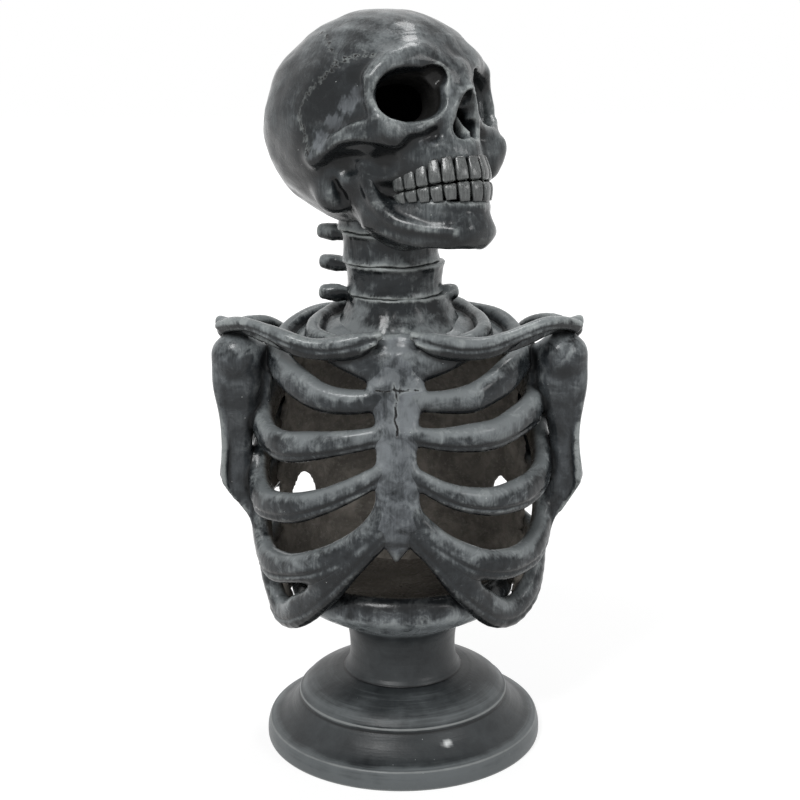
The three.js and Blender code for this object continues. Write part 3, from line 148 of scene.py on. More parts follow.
class Paint:
    # one material, built up by expressions
    def __init__(self, name):
        self.material = bpy.data.materials.new(name)
        self.material.use_nodes = True
        self.tree = self.material.node_tree
        self.shader = next(n for n in self.tree.nodes if n.type == "BSDF_PRINCIPLED")
        self.place = self.node("ShaderNodeTexCoord").outputs["Object"]

    def feed(self, socket, value):
        # links or sets one socket; a colour given as three numbers is opaque
        value = value.link if isinstance(value, Value) else value
        if isinstance(value, bpy.types.NodeSocket):
            self.tree.links.new(value, socket)
        else:
            socket.default_value = (*value, 1.0) if socket.type == "RGBA" else value

    def node(self, kind, settings=None, sockets=None):
        made = self.tree.nodes.new(kind)
        for key, value in (settings or {}).items():
            setattr(made, key, value)
        pairs = sockets.items() if isinstance(sockets, dict) else enumerate(sockets or [])
        for key, value in pairs:
            self.feed(made.inputs[key], value)
        return made

    def scaled(self, x, y, z):
        made = self.node("ShaderNodeVectorMath", {"operation": "MULTIPLY"}, [self.place, (x, y, z)])
        return made.outputs[0]

    def noise(self, scale, detail=3.0, rough=0.55, warp=0.0, where=None):
        sockets = {"Scale": scale, "Detail": detail, "Roughness": rough, "Distortion": warp}
        made = self.node("ShaderNodeTexNoise", None, {"Vector": where or self.place, **sockets})
        return Value(self, made.outputs["Fac"])

    def cells(self, scale):
        made = self.node("ShaderNodeTexVoronoi", None, {"Vector": self.place, "Scale": scale})
        return Value(self, made.outputs["Distance"])

    def attribute(self, name):
        made = self.node("ShaderNodeAttribute", {"attribute_name": name})
        return Value(self, made.outputs["Fac"])

    def mix(self, factor, first, second):
        # a Mix node's colours are its sixth and seventh sockets, and the mixed colour its second output
        made = self.node("ShaderNodeMix", {"data_type": "RGBA"}, {"Factor": factor, 6: first, 7: second})
        return made.outputs[2]

    def set(self, **sockets):
        for key, value in sockets.items():
            self.feed(self.shader.inputs[key.replace("_", " ")], value)

    def bump(self, height, distance, strength):
        sockets = {"Height": height, "Distance": distance, "Strength": strength}
        made = self.node("ShaderNodeBump", None, sockets)
        self.set(Normal=made.outputs["Normal"])


def ringQuads(rings, following):
    # faces between closed rings of point numbers and the rings that follow them
    corners = [rings, np.roll(rings, -1, 1), np.roll(following, -1, 1), following]
    return np.stack(corners, -1).reshape(-1, 4)


# smooth curves and tables
def travelled(line):
    # the way along a line up to each of its points
    return np.concatenate([[0], np.cumsum(np.linalg.norm(np.diff(line, axis=0), axis=1))])


def placesAt(steps, run, line):
    # a line's places at these ways along it
    return np.stack([np.interp(steps, run, line[:, k]) for k in range(line.shape[1])], axis=1)


def spline(points, count, even=True):
    # centripetal Catmull-Rom curve through the points; even: stations evenly spaced along it
    p = np.asarray(points, float)
    p = np.vstack([2 * p[0] - p[1], p, 2 * p[-1] - p[-2]])
    gap = np.maximum(np.linalg.norm(np.diff(p, axis=0), axis=1) ** 0.5, 1e-6)
    knot = np.concatenate([[0], np.cumsum(gap)])
    spans = len(p) - 3
    where = np.linspace(0, spans, 40 * spans + 1 if even else count)
    i = np.minimum(where.astype(int), spans - 1)
    a, b, c, d = (p[i + k] for k in range(4))
    ta, tb, tc, td = (knot[i + k][:, None] for k in range(4))
    t = tb + (where - i)[:, None] * (tc - tb)
    ab = (tb - t) / (tb - ta) * a + (t - ta) / (tb - ta) * b
    bc = (tc - t) / (tc - tb) * b + (t - tb) / (tc - tb) * c
    cd = (td - t) / (td - tc) * c + (t - tc) / (td - tc) * d
    abc = (tc - t) / (tc - ta) * ab + (t - ta) / (tc - ta) * bc
    bcd = (td - t) / (td - tb) * bc + (t - tb) / (td - tb) * cd
    line = (tc - t) / (tc - tb) * abc + (t - tb) / (tc - tb) * bcd
    if not even:
        return line
    run = travelled(line)
    return placesAt(np.linspace(0, run[-1], count), run, line)


def table(values, share):
    # a value read off a table of evenly spaced values, smoothly
    v = np.concatenate([[values[0]], values, [values[-1]]])
    w = np.clip(share, 0, 1) * (len(values) - 1)
    i = np.minimum(np.floor(w).astype(int), len(values) - 2)
    t = w - i
    a, b, c, d = v[i], v[i + 1], v[i + 2], v[i + 3]
    return b + t * (0.5 * (c - a) + t * (a - 2.5 * b + 2 * c - 0.5 * d + t * (1.5 * (b - c) + 0.5 * (d - a))))


# sculpting: fields of distances in mm
class Clay:
    # distances to the surface on a grid, negative inside; shapes are pressed on or carved out softly
    far = 12.0          # mm, the greatest distance kept
    outside = 4.0       # mm, the distance given to places that a piece leaves out

    def __init__(self, low, high, step):
        self.low = np.array(low, float)
        self.step = step
        self.count = np.ceil((np.array(high, float) - self.low) / step).astype(int) + 1
        self.d = np.full(self.count, self.far, np.float32)

    def places(self, axis, start=0, stop=None):
        # the grid's places along one axis
        return self.low[axis] + self.step * np.arange(start, self.count[axis] if stop is None else stop)

    def window(self, low, high):
        i = np.clip(np.floor((np.asarray(low) - self.low) / self.step).astype(int), 0, self.count)
        j = np.clip(np.ceil((np.asarray(high) - self.low) / self.step).astype(int) + 1, 0, self.count)
        cut = tuple(slice(a, b) for a, b in zip(i, j))
        axes = [self.places(k, i[k], j[k]).astype(np.float32) for k in range(3)]
        return cut, axes[0][:, None, None], axes[1][None, :, None], axes[2][None, None, :]

    def press(self, window, shape, seam):
        # soft union: the lesser distance, less a bump where the two are close
        old = self.d[window]
        lap = np.maximum(seam - np.abs(old - shape), 0) / seam
        self.d[window] = np.minimum(old, shape) - lap * lap * (seam / 4)

    def carve(self, window, shape, seam):
        old = self.d[window]
        lap = np.maximum(seam - np.abs(old + shape), 0) / seam
        self.d[window] = np.maximum(old, -shape) + lap * lap * (seam / 4)

    def oval(self, centre, radii):
        # distance to an oval: how far the scaled place is past 1, over the slope there
        reach = max(radii) + self.far
        cut, x, y, z = self.window(np.array(centre) - reach, np.array(centre) + reach)
        x, y, z = x - centre[0], y - centre[1], z - centre[2]
        a, b, c = (x / radii[0]) ** 2, (y / radii[1]) ** 2, (z / radii[2]) ** 2
        k = np.sqrt(a + b + c)
        slope = np.sqrt(a / radii[0] ** 2 + b / radii[1] ** 2 + c / radii[2] ** 2)
        return cut, (k * (k - 1) / np.maximum(slope, 1e-6)).astype(np.float32)

    def bar(self, line, up, out, halfUp, halfOut, groove=None, blunt=1.0):
        # distance to a bar along a line, a rounded oblong in section; the least over its spans
        line, n = np.asarray(line, float), len(line)
        up, out = np.broadcast_to(up, (n, 3)), np.broadcast_to(out, (n, 3))
        halfUp, halfOut = np.broadcast_to(halfUp, n), np.broadcast_to(halfOut, n)
        big = np.maximum(halfUp, halfOut).max() + self.far
        whole, x, y, z = self.window(line.min(0) - big, line.max(0) + big)
        field = np.full([len(x), y.shape[1], z.shape[2]], self.far, np.float32)
        start = np.array([s.start for s in whole])
        for i in range(n - 1):
            wide = max(halfUp[i], halfUp[i + 1], halfOut[i], halfOut[i + 1]) + self.far
            two = line[i:i + 2]
            cut, x, y, z = self.window(two.min(0) - wide, two.max(0) + wide)
            run = two[1] - two[0]
            length = np.linalg.norm(run)
            if length < 1e-6:
                continue
            t = run / length
            o = out[i] + out[i + 1]
            o = unit(o - t * (o @ t))
            u = np.cross(o, t)
            u = u if u @ (up[i] + up[i + 1]) > 0 else -u
            x, y, z = x - two[0][0], y - two[0][1], z - two[0][2]
            along = t[0] * x + t[1] * y + t[2] * z
            upward = u[0] * x + u[1] * y + u[2] * z
            outward = o[0] * x + o[1] * y + o[2] * z
            share = np.clip(along / length, 0, 1)
            past = np.abs(along - share * length)
            a = halfUp[i] + (halfUp[i + 1] - halfUp[i]) * share
            b = halfOut[i] + (halfOut[i + 1] - halfOut[i]) * share
            c = np.minimum(a, b) * blunt
            p, q, r = np.abs(upward) / a, np.abs(outward) / b, past / c
            k = np.maximum((p * p * np.sqrt(p) + q * q * np.sqrt(q) + r * r * np.sqrt(r)) ** 0.4, 1e-3)
            slope = np.sqrt(p ** 3 / a ** 2 + q ** 3 / b ** 2 + r ** 3 / c ** 2) * k ** -1.5
            d = (k - 1) / np.maximum(slope, 1e-4)
            if groove is not None:
                d = d + groove[2] * np.exp(-((upward - groove[0] * a) / groove[1]) ** 2) * (outward > 0)
            local = tuple(slice(s.start - g, s.stop - g) for s, g in zip(cut, start))
            field[local] = np.minimum(field[local], d)
        return whole, field

    def lumps(self, size, depth, seed):
        # uneven surface: a sum of sine waves in set directions, added near the surface
        waves, near = 9, 4.0
        rng = np.random.default_rng(seed)
        spot = np.nonzero(np.abs(self.d) < near)
        place = [self.low[k] + self.step * spot[k] for k in range(3)]
        wave = np.zeros(len(spot[0]), np.float32)
        for _ in range(waves):
            way = unit(rng.normal(size=3)) * 2 * np.pi / (size * rng.uniform(0.6, 1.5))
            wave += np.sin(way[0] * place[0] + way[1] * place[1] + way[2] * place[2] + rng.uniform(0, 6.3))
        self.d[spot] += (depth * (2 / waves) ** 0.5 * wave).astype(np.float32)

    def sample(self, field, points):
        # the field between grid places, linearly
        w = (points - self.low) / self.step
        i = np.clip(np.floor(w).astype(int), 0, np.array(field.shape) - 2)
        f = w - i
        total = 0
        for a in (0, 1):
            for b in (0, 1):
                for c in (0, 1):
                    share = np.abs(1 - a - f[:, 0]) * np.abs(1 - b - f[:, 1]) * np.abs(1 - c - f[:, 2])
                    total = total + share * field[i[:, 0] + a, i[:, 1] + b, i[:, 2] + c]
        return total


def blurred(field, reach):
    # mean over a box, twice along each axis
    for axis in range(3):
        for _ in range(2):
            pad = [(0, 0)] * 3
            pad[axis] = (reach + 1, reach)
            run = np.cumsum(np.pad(field, pad, mode="edge"), axis=axis, dtype=np.float32)
            size = 2 * reach + 1
            high = np.take(run, range(size, run.shape[axis]), axis=axis)
            low = np.take(run, range(0, run.shape[axis] - size), axis=axis)
            field = (high - low) / size
    return field


def bulges(clay, fine, broad):
    # how much the surface bulges at two scales: about 0 on a flat, above on a ridge, below in a hollow
    sharp = np.clip(clay.d / (1.2 * clay.step), -1, 1)
    return blurred(sharp, max(1, round(fine / clay.step))), blurred(sharp, max(2, round(broad / clay.step)))


def surfaceOf(field, low, step):
    # the surface where the distance is zero, as quads that face outwards
    # the grid's outer faces are set to lie outside, so that it closes
    for axis in range(3):
        for end in (0, -1):
            face = [slice(None)] * 3
            face[axis] = end
            field[tuple(face)] = Clay.outside
    band = 3 * step
    grid = openvdb.FloatGrid(band)
    grid.copyFromArray(np.clip(field, -band, band), tolerance=0.0)
    grid.transform = openvdb.createLinearTransform(voxelSize=step)
    points, quads = grid.convertToQuads(isovalue=0.0)
    return points + low, quads


def addMesh(name, points, faces, material, attributes, node, slot, body="root"):
    # points in mm; every face has the same number of corners
    mesh = bpy.data.meshes.new(name)
    count, sides = faces.shape
    mesh.vertices.add(len(points))
    mesh.vertices.foreach_set("co", (np.asarray(points, np.float32) * mm).ravel())
    mesh.loops.add(count * sides)
    mesh.loops.foreach_set("vertex_index", faces.astype(np.int32).ravel())
    mesh.polygons.add(count)
    mesh.polygons.foreach_set("loop_start", np.arange(0, count * sides, sides, dtype=np.int32))
    mesh.polygons.foreach_set("use_smooth", np.full(count, True))
    mesh.update(calc_edges=True)
    mesh.validate()
    # how far each place faces up, for paler paint on top faces, part dry brush and part painted light from
    # above, and for painted shade on the undersides
    normals = np.empty(3 * len(mesh.vertices), np.float32)
    mesh.vertex_normals.foreach_get("vector", normals)
    for key, values in {**attributes, "up": normals[2::3]}.items():
        layer = mesh.attributes.new(key, "FLOAT", "POINT")
        layer.data.foreach_set("value", np.asarray(values, np.float32))
    mesh.materials.append(material)
    piece = bpy.data.objects.new(name, mesh)
    bpy.context.scene.collection.objects.link(piece)
    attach(piece, body)
    if node:
        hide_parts(*([node] if isinstance(node, str) else node))
    if slot:
        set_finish(piece, slot)
    return piece


noCrack = 20.0      # mm, the distance given to a place that no crack is near


def lineDistance(points, lines):
    # distance in mm from each point to the nearest of some broken lines
    best = np.full(len(points), 50.0)
    for line in lines:
        line = np.asarray(line, float)
        for a, b in zip(line[:-1], line[1:]):
            run = b - a
            t = np.clip((points - a) @ run / (run @ run), 0, 1)
            best = np.minimum(best, np.linalg.norm(points - a - t[:, None] * run, axis=1))
    return best


# finishes: colours as linear red, green and blue
tones = {
    # deep: near black for painted shade in hollows, grooves, undersides and between teeth, and for cracks
    "deep": (0.004, 0.0044, 0.0048),
    "pit": (0.007, 0.0068, 0.0064),
    "dark": (0.006, 0.0076, 0.0088),
    "middle": (0.026, 0.032, 0.036),
    "pale": (0.212, 0.232, 0.237),
    "chalk": (0.42, 0.45, 0.44),
    "scuff": (0.17, 0.185, 0.20),
    "raw": (0.075, 0.067, 0.057),
    "dust": (0.15, 0.14, 0.125),
    "speck": (0.7, 0.72, 0.70),
    "footMiddle": (0.078, 0.087, 0.091),
    "footWorn": (0.17, 0.187, 0.193),
    "footEdge": (0.25, 0.262, 0.26),
    "footSpeck": (0.6, 0.62, 0.62),
    "chip": (0.72, 0.74, 0.74),
    "toothDark": (0.012, 0.014, 0.015),
    "toothPale": (0.115, 0.125, 0.122),
    "toothEdgeAndGlint": (0.42, 0.44, 0.42),
    "resinDark": (0.118, 0.107, 0.092),
    "resinPale": (0.26, 0.236, 0.205),
    "resinGrain": (0.26, 0.245, 0.22),
    "resinSpeck": (0.30, 0.29, 0.27),
}


def boneMaterial(look, name="bone_paint", upward=1.3, patchy=1.3, rough=0.24, coat=0.12):
    # dark satin paint, dry-brushed paler over what stands out, with painted light on faces that look up and
    # painted shade in the hollows and on the undersides
    p = Paint(name)
    edge, swell, line = (p.attribute(key) for key in ("edge", "swell", "line"))
    pit, scuff, up = (p.attribute(key) for key in ("pit", "scuff", "up"))
    cloud = p.noise(22, 4, 0.6).rise(0.3, 0.7)
    blotch = p.noise(75, 4, 0.62, 0.6).rise(0.3, 0.7)
    grain = p.noise(420, 3, 0.6)
    streak = p.noise(1, 4, 0.6, 0.4, p.scaled(520, 520, 60))
    base = p.mix(cloud * 0.6 + blotch * 0.4, look["dark"], look["middle"])
    # paler paint: worn on broad swells, in patches, and painted light on faces that look up (upward sets how
    # much)
    patches = (cloud - 0.5) * patchy + (blotch - 0.5) * patchy * 0.5 + (streak - 0.5) * 1.0
    paleShare = (swell * 1.2 + up * upward + patches).rise(0.02, 1.2)
    base = p.mix(paleShare * 0.85, base, look["pale"])
    # scuffs, and painted shade where the scuff value is below zero
    rubbed = scuff.clamp() * (cloud * 0.5 + blotch * 0.7 + streak * 0.8 - 0.45).clamp()
    base = p.mix(rubbed, base, look["scuff"])
    base = p.mix((scuff * -1.0).clamp() * 0.85, base, look["dark"])
    # dry brush on sharp edges
    bristles = (blotch - 0.5) * 0.9 + (grain - 0.5) * 0.9 + (streak - 0.5) * 0.8
    brushed = (edge * 3.6 + bristles - 0.35).rise(0.0, 1.1)
    base = p.mix(brushed * 0.55, base, look["chalk"])
    # painted shade in hollows and along joints
    hollowShade = ((edge * -3.2).most(swell * -2.4) + (blotch - 0.5) * 0.5).rise(0.0, 0.75)
    base = p.mix(hollowShade * 0.93, base, look["deep"])
    # painted shade on faces that look down
    undersideShade = (up * -1.0 + (cloud - 0.5) * 0.3).rise(-0.05, 0.5)
    base = p.mix(undersideShade * 0.85, base, look["deep"])
    # cracks with flaked edges, white specks, bare resin inside the chest and painted shade in deep openings
    wobble = (p.noise(260, 2, 0.5) - 0.5) * 2.8
    flake = (1 - (line + wobble * 1.6).rise(1.4, 2.8)) * blotch
    base = p.mix(flake * 0.3, base, look["chalk"])
    crack = 1 - (line + wobble * 0.6).rise(0.7, 1.4)
    base = p.mix(crack, base, look["deep"])
    speck = (1 - p.cells(150).rise(0.035, 0.07)) * p.noise(33, 2, 0.5).rise(0.57, 0.63)
    base = p.mix(speck * 0.8, base, look["speck"])
    bare = p.mix((grain * 0.8 + cloud * 0.2).rise(0.46, 0.62) * 0.6, look["raw"], look["dust"])
    base = p.mix(p.attribute("raw"), base, bare)
    # painted shade deep in the openings
    base = p.mix(pit.rise(0.4, 0.68), base, look["pit"])
    p.set(Base_Color=base, Roughness=rough + (blotch - 0.5) * 0.2 + hollowShade * 0.2 + pit * 0.3, Metallic=0.0,
          Specular_IOR_Level=0.2, Coat_Weight=coat, Coat_Roughness=0.12)
    relief = grain * 0.2 + blotch * 0.5 + streak * 0.2 - crack * 1.6 + speck * 0.4 - pit * 0.5
    p.bump(relief, 0.0006, 0.5)
    return p.material


def resinMaterial(look):
    # rough unpainted brown-grey casting with paler dust
    p = Paint("bare_resin")
    cloud, grain = p.noise(40, 5, 0.65, 0.5), p.noise(330, 4, 0.7)
    base = p.mix(cloud.rise(0.35, 0.7), look["resinDark"], look["resinPale"])
    base = p.mix((grain - 0.5).rise(0.02, 0.16) * 0.6, base, look["resinGrain"])
    speck = (1 - p.cells(210).rise(0.05, 0.12)) * p.noise(60).rise(0.5, 0.6)
    base = p.mix(speck * 0.8, base, look["resinSpeck"])
    p.set(Base_Color=base, Roughness=0.75 + (grain - 0.5) * 0.2)
    p.bump(grain + cloud * 1.5, 0.0016, 0.7)
    return p.material


def footMaterial(look):
    # turned foot: dark paint with pale lines where edges rubbed, painted shade in its grooves, streaks round
    # the axis and one chip
    p = Paint("foot_paint")
    edge, swell = p.attribute("edge"), p.attribute("swell")
    cloud, blotch, grain = p.noise(22, 4, 0.6), p.noise(70, 4, 0.6, 0.5), p.noise(420, 3, 0.6)
    apart = p.node("ShaderNodeSeparateXYZ", None, [p.place])
    across, deep, high = (Value(p, apart.outputs[axis]) for axis in "XYZ")
    reach = (across * across + deep * deep) ** 0.5
    ringPlace = p.node("ShaderNodeCombineXYZ", None, [reach, high, across * 0.06])
    streak = p.noise(380, 4, 0.65, 0.2, ringPlace.outputs[0])
    base = p.mix((cloud * 0.9 + blotch * 0.5 - 0.4).clamp(), look["dark"], look["footMiddle"])
    paleShare = (swell * 2.0 + (cloud - 0.5) * 1.7 + (streak - 0.5) * 1.2).rise(0.0, 1.1)
    base = p.mix(paleShare * 0.65, base, look["footWorn"])
    # painted shade in the grooves, where the profile curves inwards
    base = p.mix(((edge * -1.0) + (streak - 0.5) * 0.5).rise(0.2, 0.9) * 0.85, base, look["deep"])
    rubbed = (edge + (blotch - 0.5) * 0.5 + (streak - 0.5) * 0.3).rise(0.62, 1.0)
    base = p.mix(rubbed * 0.8, base, look["footEdge"])
    speck = (1 - p.cells(140).rise(0.03, 0.06)) * p.noise(30, 2, 0.5).rise(0.58, 0.64)
    base = p.mix(speck * 0.6, base, look["footSpeck"])
    base = p.mix(p.attribute("chip"), base, look["chip"])
    rough = 0.40 + (streak - 0.5) * 0.22 + (blotch - 0.5) * 0.2
    p.set(Base_Color=base, Roughness=rough, Specular_IOR_Level=0.32)
    p.bump(grain * 0.3 + streak * 0.5 + blotch * 0.4, 0.0008, 0.5)
    return p.material


def toothMaterial(look):
    # teeth: paler, streaked lengthways, with a painted highlight on their front corners and biting edge, and
    # painted shade between them
    p = Paint("tooth_paint")
    edge, low = p.attribute("edge"), p.attribute("gum")
    blotch, grain = p.noise(120, 4, 0.6, 0.4), p.noise(500, 3, 0.6)
    streak = p.noise(1, 3, 0.6, 0.2, p.scaled(900, 900, 90))
    base = p.mix((blotch * 1.2 + streak * 1.6 - 0.95).clamp(), look["toothDark"], look["toothPale"])
    # pale front corners and biting edge: worn paint with a painted highlight
    base = p.mix((edge + (streak - 0.5) * 0.8).rise(0.25, 0.9) * 0.85, base, look["toothEdgeAndGlint"])
    # painted shade between the teeth and at their roots
    base = p.mix((low + (streak - 0.5) * 0.5).rise(0.35, 1.0) * 0.9, base, look["deep"])
    p.set(Base_Color=base, Roughness=0.26 + (blotch - 0.5) * 0.2, Specular_IOR_Level=0.55,
          Coat_Weight=0.4, Coat_Roughness=0.12)
    p.bump(grain * 0.3 + streak * 0.9, 0.0008, 0.6)
    return p.material


def plainMaterial(name, first, second, roughness, metallic=0.0, scale=180.0, grain=900.0, depth=0.0002):
    # two close tones in clouds with a fine grain
    p = Paint(name)
    cloud, fine = p.noise(scale, 4, 0.6), p.noise(grain, 3, 0.6)
    p.set(Base_Color=p.mix(cloud.rise(0.3, 0.7), first, second), Metallic=metallic,
          Roughness=roughness + (cloud - 0.5) * 0.2 + (fine - 0.5) * 0.1)
    p.bump(fine, depth, 0.6)
    return p.material


bpy.context.scene.view_settings.view_transform = "Standard"
makeCamera(stage)
print("finishes")
bonePaint = boneMaterial(tones)
# the head gets less painted light on its upward faces and fewer pale patches
headPaint = boneMaterial(tones, "head_paint", upward=0.5, patchy=0.6, rough=0.27, coat=0.2)
footPaint = footMaterial(tones)
toothPaint = toothMaterial(tones)
bareResin = resinMaterial(tones)


# torso: one sculpted field for all its bones, then one piece for each
torso = {
    "low": (-161, -112, 98), "high": (161, 122, 384), "step": 1.25,
    "cageBase": 100.0, "cageHeight": 300.0, "cageWide": 118.0, "cageFront": 88.0, "cageBack": 86.0,
    "wide": [0.86, 0.96, 1.01, 1, 0.935, 0.8, 0.46],
    "front": [0.68, 0.91, 1, 0.96, 0.83, 0.63, 0.45],
    "back": [0.65, 0.85, 0.94, 1, 0.97, 0.87, 0.58],
    "ribUp": 12.8, "ribOut": 9.6, "ribSpans": 46,
    "ribOutTable": [0.6, 0.85, 1, 1, 1, 0.95, 0.8, 0.63, 0.61, 0.61],
    "ribUpTable": [0.6, 0.75, 0.9, 1, 1, 1, 0.95, 0.75, 0.62, 0.6],
    "topRibTable": [0.8, 0.9, 0.75, 0.62, 0.6, 0.6],
    "seam": 10.5,           # soft union of neighbouring bones
    "lap": 0.22,            # how fast a piece sinks below the surface past its own share of it
}
# turn as a share of half a turn from the breast bone, height share, narrowing; the two sides hang differently
topRib = [(0.05, 0.79, 0), (0.14, 0.825, 0), (0.27, 0.85, 0.06), (0.46, 0.875, 0.2), (0.7, 0.895, 0.28),
          (0.85, 0.9, 0.2), (0.95, 0.9, 0.1)]
secondRib = [(0.03, 0.713), (0.12, 0.708), (0.19, 0.714), (0.26, 0.735), (0.34, 0.762), (0.43, 0.786),
             (0.56, 0.825), (0.75, 0.868), (0.95, 0.87)]
ribPaths = {
    -1: [
        topRib, secondRib,
        [(0.03, 0.627), (0.11, 0.605), (0.2, 0.585), (0.305, 0.572), (0.42, 0.59), (0.51, 0.63),
         (0.6, 0.68), (0.75, 0.735), (0.95, 0.77)],
        [(0.03, 0.53), (0.1, 0.482), (0.175, 0.44), (0.275, 0.405), (0.4, 0.398), (0.475, 0.435),
         (0.53, 0.495), (0.7, 0.59), (0.95, 0.645)],
        [(0.02, 0.447), (0.06, 0.37), (0.115, 0.313), (0.19, 0.259), (0.29, 0.226), (0.4, 0.217),
         (0.46, 0.252), (0.492, 0.315), (0.54, 0.38), (0.7, 0.435), (0.95, 0.462)],
        [(0.015, 0.392), (0.06, 0.33), (0.11, 0.26), (0.17, 0.185), (0.25, 0.112), (0.35, 0.062),
         (0.44, 0.07), (0.485, 0.135), (0.53, 0.195), (0.7, 0.265), (0.95, 0.3)],
    ],
    1: [
        topRib, secondRib,
        [(0.03, 0.625), (0.1, 0.613), (0.17, 0.609), (0.24, 0.613), (0.32, 0.63), (0.42, 0.65),
         (0.51, 0.675), (0.6, 0.705), (0.75, 0.745), (0.95, 0.77)],
        [(0.03, 0.525), (0.1, 0.475), (0.155, 0.449), (0.22, 0.436), (0.3, 0.436), (0.38, 0.45),
         (0.455, 0.475), (0.51, 0.525), (0.58, 0.565), (0.7, 0.6), (0.95, 0.645)],
        [(0.02, 0.44), (0.06, 0.375), (0.1, 0.33), (0.16, 0.281), (0.225, 0.253), (0.305, 0.245),
         (0.385, 0.258), (0.45, 0.295), (0.5, 0.35), (0.56, 0.395), (0.7, 0.44), (0.95, 0.462)],
        [(0.015, 0.392), (0.055, 0.335), (0.1, 0.268), (0.145, 0.203), (0.2, 0.14), (0.275, 0.087),
         (0.345, 0.078), (0.41, 0.105), (0.46, 0.155), (0.52, 0.205), (0.7, 0.27), (0.95, 0.3)],
    ],
}
ribGrooves = [None, None, (-0.5, 1.7, 1.0), (-0.42, 1.8, 1.3), (-0.4, 1.8, 1.3), (-0.3, 1.8, 0.9)]


def cagePoint(t, turn, z, outwards=0.0, narrowing=0.0):
    # a point of the cage: half an oval in front and half behind, whose sizes follow tables of the height
    share = (z - t["cageBase"]) / t["cageHeight"]
    wide = t["cageWide"] * table(t["wide"], share) * (1 - narrowing)
    front, back = t["cageFront"] * table(t["front"], share), t["cageBack"] * table(t["back"], share)
    deep = np.where(np.cos(turn) > 0, front, back)
    out = unit(np.stack([np.sin(turn) / wide, -np.cos(turn) / deep, 0 * wide], axis=-1))
    place = np.stack([wide * np.sin(turn), -deep * np.cos(turn), z + 0 * wide], axis=-1)
    return place + out * np.asarray(outwards)[..., None], out


def ribLine(t, path, side):
    # a rib's line on the cage, which way is outwards at each of its points, and each point's share of it
    path = np.array([(*p, 0)[:3] for p in path], float)
    plan = spline(path, 12 * len(path), even=False)
    height = t["cageBase"] + plan[:, 1] * t["cageHeight"]
    place, out = cagePoint(t, plan[:, 0] * np.pi, height, 0.0, plan[:, 2])
    run = travelled(place)
    both = placesAt(np.linspace(0, run[-1], t["ribSpans"]), run, np.hstack([place, out]))
    both[:, [0, 3]] *= side
    return both[:, :3], unit(both[:, 3:]), np.linspace(0, 1, t["ribSpans"])


class Bones:
    # the bones pressed into one clay, each one's own distances kept so that it can be cut out again
    def __init__(self, clay, seam):
        self.clay, self.seam, self.own = clay, seam, {}

    def add(self, name, made, seam=None):
        window, field = made
        self.clay.press(window, field, seam or self.seam)
        self.own.setdefault(name, []).append((window, field))

    def shares(self, names):
        # nearest and second nearest bone's distance at each grid place
        first = np.full(self.clay.count, Clay.far, np.float32)
        second = first.copy()
        owner = np.full(self.clay.count, -1, np.int8)
        for number, name in enumerate(names):
            window, mine = self.whole(name)
            one, two, who = first[window], second[window], owner[window]
            nearer = mine < one
            second[window] = np.where(nearer, one, np.minimum(two, mine))
            owner[window] = np.where(nearer, number, who)
            first[window] = np.where(nearer, mine, one)
        return first, second, owner

    def whole(self, name):
        parts = self.own[name]
        low = [min(w[k].start for w, _ in parts) for k in range(3)]
        high = [max(w[k].stop for w, _ in parts) for k in range(3)]
        field = np.full([b - a for a, b in zip(low, high)], Clay.far, np.float32)
        for window, d in parts:
            at = tuple(slice(w.start - a, w.stop - a) for w, a in zip(window, low))
            field[at] = np.minimum(field[at], d)
        return tuple(slice(a, b) for a, b in zip(low, high)), field


# lines of the shoulder for the left side, (sideways, back, up); the right one mirrors them
shoulder = {
    "collar": [(13, -67, 366), (22, -65.5, 363.5), (38, -64, 359.5), (56, -61.5, 356.5), (72, -58, 356.8),
               (88, -53, 361), (104, -44, 365.5), (120, -34, 368.5), (133, -24, 367), (145, -13, 362.5)],
    "collarSize": [0.55, 1.05, 1.2, 1.12, 1.05, 1.0, 0.92, 0.88, 0.9, 0.8],
    "fan": [(17, -67, 360), (28, -66.5, 355), (46, -63, 351.5), (64, -60, 350), (80, -55, 352),
            (92, -48, 357)],
    "strap": [(147, -3, 365), (130, -16, 363), (106, -32, 357), (86, -44, 352)],
    "cartilage": [(6, -60, 341.5), (19, -59.5, 342), (36, -58, 343.5), (56, -54, 348.5), (68, -51, 352)],
    "bladeBottom": 212.0, "bladeTop": 341.0, "bladeRows": 22, "bladeOut": 9.5,
    "ridge": [(78.5, 72, 305), (94, 60, 326.5), (108, 36, 352), (126, 14, 361), (146, 0, 357)],
    "arm": [(133, -10, 338), (134, -10, 318), (135, -8, 290), (136.5, -5, 262), (138, -3, 236),
            (138, -2, 212), (135, -2, 190)],
    "armWide": [21, 20.5, 17, 13.2, 12.5, 14.6, 16, 15],
    "armDeep": [15, 15, 12, 10, 9.5, 10, 10.5, 10.5],
    "armHead": (133, -13, 338), "armHeadSize": (20, 17, 20),
    "armRim": [(150, -14, 340), (150.5, -16, 318), (147, -15, 290), (145.5, -14, 262), (147.5, -13, 240),
               (146, -12, 222), (137, -12, 205)],
    "armCut": (127.0, 193.5), "armCutWay": (26.7, 41.6),        # the slant the arm ends on: a place, its run
    "web": [(117, -8, 340), (114, -8, 326), (115, -6, 308), (119, -4, 290)],
}
# breast bone and backbone: heights and half widths
breast = {
    "sternumAt": [208, 217, 232, 254, 276, 296, 312, 325.0],
    "sternumWide": [11, 17, 17, 16, 16, 16.5, 19, 21],
    "tip": [(0, -88, 209), (-0.5, -88, 200), (-1, -87.5, 190)], "tipWide": [12, 11, 6.5, 2.4],
    "manubriumAt": [323.5, 329, 336, 344, 352, 358], "manubriumWide": [22, 18.5, 16.5, 15.5, 17, 20],
    "spineFrom": 124, "spineTo": 352, "discs": 6, "discPitch": 38, "discWide": 14,
    "crown": (0, 10, 342), "crownSize": (92, 60, 30), "crownFrom": 341,
}


